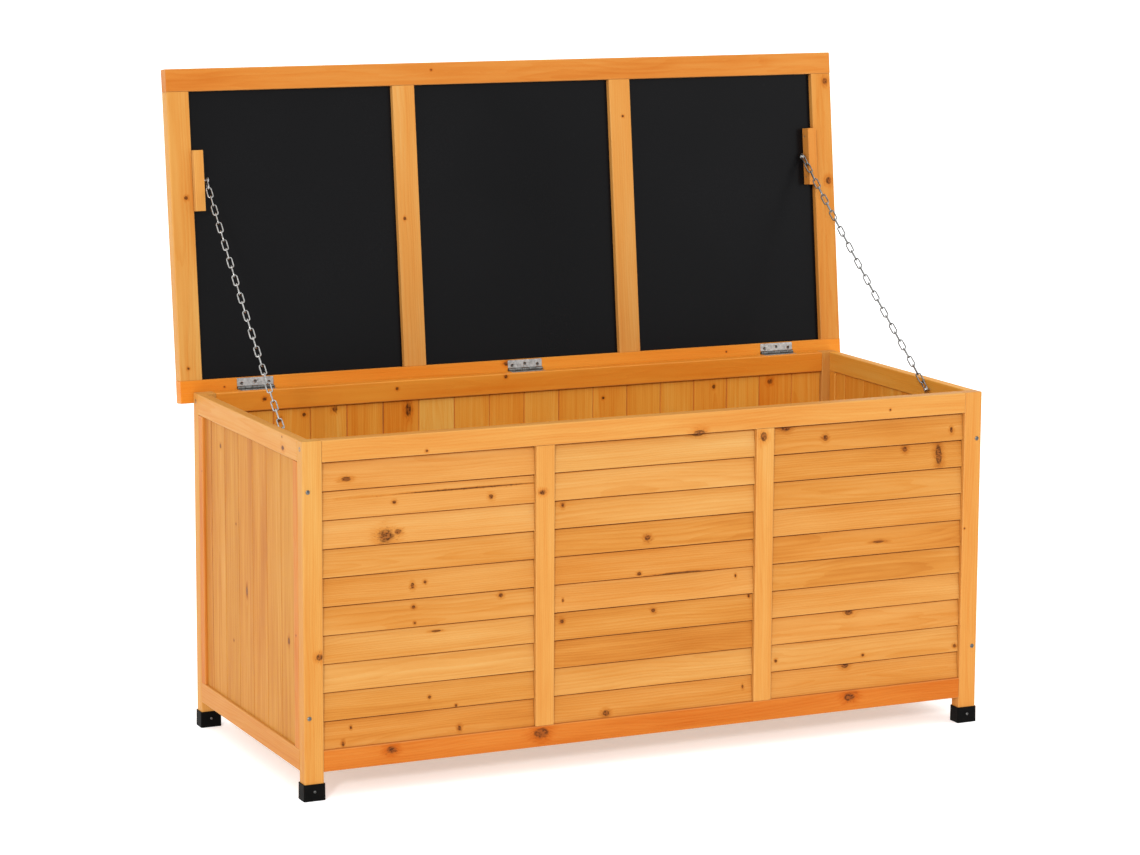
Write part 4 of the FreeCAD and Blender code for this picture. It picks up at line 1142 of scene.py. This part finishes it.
def hinge_leaf(x0, first_knuckle, away, out):
    """A leaf from its pin outwards along away; out is the side that its knuckles stand out on."""
    flat, faces = plate(leaf_outline(first_knuckle), HOLES)
    axes = np.stack([X, np.array(away), np.array(out)])
    level = KNUCKLE_R - LEAF_THICK / 2
    points = PINS + X * x0 + (flat - (0, 0, level)) @ axes
    if np.linalg.det(axes) < 0:
        faces = [face[::-1] for face in faces]
    solids = [{"points": points, "faces": faces}]
    step = HINGE_LONG / KNUCKLES
    for number in range(first_knuckle, KNUCKLES, 2):
        a, b = x0 + number * step + KNUCKLE_GAP / 2, x0 + (number + 1) * step - KNUCKLE_GAP / 2
        near, far = (0, KNUCKLE_R - KNUCKLE_SOFT), (b - a, KNUCKLE_R - KNUCKLE_SOFT)
        barrel = [near, (KNUCKLE_SOFT, KNUCKLE_R), (b - a - KNUCKLE_SOFT, KNUCKLE_R), far]
        solids.append(turned(PINS + X * a, X, barrel))
    return solids


leaves_box, leaves_lid, pins, screws_box, screws_lid = [], [], [], [], []
for middle in HINGE_PLACES:
    x0 = middle - HINGE_LONG / 2
    leaves_box += hinge_leaf(x0, 0, -Y, Z)
    leaves_lid += hinge_leaf(x0, 1, UP_LID, -OUT_LID)
    rivet = [
        (0, RIVET_R * 0.5), (0.25 * MM, RIVET_R * 0.9), (RIVET_END * 0.8, RIVET_R), (RIVET_END, RIVET_NECK_R),
        (HINGE_LONG + RIVET_END, RIVET_NECK_R), (HINGE_LONG + RIVET_END * 1.2, RIVET_R),
        (HINGE_LONG + 1.5 * MM, RIVET_R * 0.9), (HINGE_LONG + 1.8 * MM, RIVET_R * 0.5),
    ]
    pins.append(turned(PINS + X * (x0 - RIVET_END), X, rivet))
    for along, away in HOLES:
        hole, sunk = PINS + X * (x0 + along * MM), KNUCKLE_R - LEAF_THICK
        screws_box.append(flat_screw(hole - Y * away * MM - Z * sunk, Z, *HINGE_SCREW))
        screws_lid.append(flat_screw(hole + UP_LID * away * MM + OUT_LID * sunk, -OUT_LID, *HINGE_SCREW))
finished("hinge_leaves_box", leaves_box, "zinc")
finished("hinge_leaves_lid", leaves_lid, "zinc")
finished("hinge_pins", pins, "screw")
finished("hinge_screws_box", screws_box, "screw")
finished("hinge_screws_lid", screws_lid, "screw")
print("hinges", len(pins), "with", len(screws_box) + len(screws_lid), "screws")

# %% [markdown]
# ## Chains
#
# A link is a round wire bent into two half circles joined by straight sides and welded on one side.
# Its centre line is one array of points, and the wire's circle is carried round it. Every other link
# is turned a quarter, and the first few links at each end turn by less, as they do where a chain
# hangs twisted on its screw. The left chain keeps a smaller part of that twist than the right one, and
# both sag a little. The lower links swing from the box and the upper ones from the lid.

# %% Links
WIRE_R = 1.15 * MM
LINK_R = 4.0 * MM
LINKS, LOWER_LINKS = 29, 14
LINK_PITCH, LINK_STRAIGHT, LINK_SEAT = 18.9885 * MM, 13.5385 * MM, 1.15 * MM
CHAIN_STANDOFF = 6.3 * MM
CHAIN_SAG = {-1: 5 * MM, 1: 3.5 * MM}
TWIST_STEP, TWIST_LIMIT = 15.0, {-1: 22.5, 1: 45.0}
WELD, WELD_LONG = 0.16, 1.1 * MM
WIRE_AROUND = 10


def link_surface():
    """Point = centre(t) + wire (cos v n(t) + sin v k), its centre line two half circles and two straights."""
    bend = np.radians(np.linspace(-90, 90, 9))
    run = np.linspace(0, 1, 8)[1:-1]
    far = np.stack([LINK_STRAIGHT + LINK_R * np.cos(bend), LINK_R * np.sin(bend)], 1)
    near = np.stack([-LINK_R * np.cos(bend), -LINK_R * np.sin(bend)], 1)
    upper = np.stack([LINK_STRAIGHT * (1 - run), np.full(len(run), LINK_R)], 1)
    lower = np.stack([LINK_STRAIGHT * run, np.full(len(run), -LINK_R)], 1)
    centre = np.concatenate([far, upper, near, lower])
    core = np.stack([np.clip(centre[:, 0], 0, LINK_STRAIGHT), np.zeros(len(centre))], 1)
    normal = (centre - core) / LINK_R
    weld = 1 + WELD * np.exp(-((centre[:, 0] - LINK_STRAIGHT / 2) / WELD_LONG) ** 2) * (centre[:, 1] > 0)
    v = np.arange(WIRE_AROUND) * 2 * np.pi / WIRE_AROUND
    wire = WIRE_R * weld[:, None, None]
    flat = centre[:, None] + wire * np.cos(v)[None, :, None] * normal[:, None]
    height = wire[..., 0] * np.sin(v)
    return np.concatenate([flat, height[..., None]], -1)


def chain(sign):
    """Links from the box's screw to the lid's, hanging below the straight line by sag * 4 t (1 - t)."""
    start = np.array((sign * (SIDE_FACE - CHAIN_STANDOFF), CHAIN_BOX_Y, CHAIN_BOX_Z))
    block_face = sign * (LID_HALF - STILE_WIDE - BLOCK_WIDE - CHAIN_STANDOFF)
    way = lid_point(block_face, BLOCK_AT, PANEL_FACE - BLOCK_TALL / 2) - start
    along = way / np.linalg.norm(way)
    across = X - along * along[0]
    across /= np.linalg.norm(across)
    flat = np.cross(across, along)
    number = np.arange(LINKS)
    twist = TWIST_STEP * np.minimum(number, LINKS - 1 - number)
    turn = np.radians(90.0 * number - np.minimum(twist, TWIST_LIMIT[sign]))
    link = link_surface()
    rings = len(link)
    y, z = link[None, ..., 1], link[None, ..., 2]
    cos, sin = np.cos(turn)[:, None, None], np.sin(turn)[:, None, None]
    x = np.broadcast_to(link[None, ..., 0], (LINKS,) + link.shape[:2])
    local = np.stack([x, y * cos - z * sin, y * sin + z * cos], -1)
    length = np.linalg.norm(way)
    reach = LINK_SEAT + number * LINK_PITCH
    drop = CHAIN_SAG[sign] * 4 * reach / length * (1 - reach / length)
    slope = CHAIN_SAG[sign] * 4 / length * (1 - 2 * (reach + LINK_STRAIGHT / 2) / length)
    ways = along - flat * slope[:, None]
    ways /= np.linalg.norm(ways, axis=1, keepdims=True)
    places = start + along * reach[:, None] - flat * drop[:, None]
    axes = np.stack([ways, np.cross(across, ways), np.broadcast_to(across, ways.shape)], 1)
    points = places[:, None, None] + local @ axes[:, None]
    ring, side = np.arange(rings)[:, None] * WIRE_AROUND, np.arange(WIRE_AROUND)[None, :]
    next_ring, next_side = (ring + WIRE_AROUND) % (rings * WIRE_AROUND), (side + 1) % WIRE_AROUND
    quads = np.stack([ring + side, next_ring + side, next_ring + next_side, ring + next_side], -1)
    faces = quads.reshape(-1, 4)[:, ::-1].tolist()
    return [{"points": p.reshape(-1, 3), "faces": faces} for p in points]


for side, sign in (("left", -1), ("right", 1)):
    links = chain(sign)
    finished(f"chain_{side}_lower", links[:LOWER_LINKS], "chain_" + side, soften=False)
    finished(f"chain_{side}_upper", links[LOWER_LINKS:], "chain_" + side, soften=False)
print("chains of", LINKS, "links,", round(LINKS * LINK_PITCH, 3), "m long")

# %% [markdown]
# ## Studio
#
# The floor is a plain pale sheet, far larger than the view and lit a little from below like a light
# table, so that only the shadow close to the box remains. A white world fills every shadow softly.
# A sun-like key light comes low from the front left and lights the front and the open lid. A weaker,
# very soft sky light from above gives the slats their lip shadows and lights the inside, and a weak
# lamp on the right keeps the far end from going dull.

# %% Floor, world and lamps
FLOOR_HALF = 40.0
FLOOR_GLOW = 0.4
KEY_STRENGTH, KEY_SPREAD, KEY_WAY = 1.5, 8.0, (0.6, 0.8, -0.44)
SKY_STRENGTH, SKY_SPREAD, SKY_WAY = 0.7, 80.0, (0.1, 0.15, -1.0)
SIDE_PLACE, SIDE_TARGET, SIDE_SIZE, SIDE_POWER = (3.5, -3.5, 2.4), (0, 0, 0.4), 2.0, 14
floor_mesh = bpy.data.meshes.new("studio_floor")
corners = np.pad(rectangle(2 * FLOOR_HALF, 2 * FLOOR_HALF), ((0, 0), (0, 1)))
floor_mesh.from_pydata(corners.tolist(), [], [(0, 1, 2, 3)])
studio_floor = bpy.data.objects.new("studio_floor", floor_mesh)
bpy.context.scene.collection.objects.link(studio_floor)
floor_paint, start = new_finish("pale_floor")
speck = start.node("TexCoord", {}, {}, "Object").noise((3, 3, 3), 2.0)
tone = start.node("ValToRGB", {"stops": ((0.2, (0.86, 0.86, 0.86)), (0.8, (0.9, 0.9, 0.9)))}, {"Fac": speck})
glow = {"Specular IOR Level": 0.1, "Emission Color": (1, 1, 1, 1), "Emission Strength": FLOOR_GLOW}
coat_with(start, glow, tone, speck * 0.05 + 0.75, speck, 0.0001)
floor_mesh.materials.append(floor_paint)

world = bpy.data.worlds.new("studio")
world.use_nodes = True
world.node_tree.nodes["Background"].inputs["Color"].default_value = (1, 1, 1, 1)
world.node_tree.nodes["Background"].inputs["Strength"].default_value = 1.0
bpy.context.scene.world = world
bpy.context.scene.view_settings.view_transform = "Standard"


def sun(name, strength, spread, way):
    """Parallel light that travels along way, as soft as its spread in degrees."""
    light = bpy.data.lights.new(name, "SUN")
    light.energy, light.angle = strength, math.radians(spread)
    holder = bpy.data.objects.new(name, light)
    holder.rotation_euler = Vector(way).to_track_quat("-Z", "Y").to_euler()
    bpy.context.scene.collection.objects.link(holder)


sun("key_light", KEY_STRENGTH, KEY_SPREAD, KEY_WAY)
sun("sky_light", SKY_STRENGTH, SKY_SPREAD, SKY_WAY)


def lamp(name, place, target, size, power):
    """A square area lamp that faces a target."""
    light = bpy.data.lights.new(name, "AREA")
    light.size, light.energy = size, power
    holder = bpy.data.objects.new(name, light)
    holder.location = place
    holder.rotation_euler = (Vector(target) - Vector(place)).to_track_quat("-Z", "Y").to_euler()
    bpy.context.scene.collection.objects.link(holder)


lamp("side_lamp", SIDE_PLACE, SIDE_TARGET, SIDE_SIZE, SIDE_POWER)
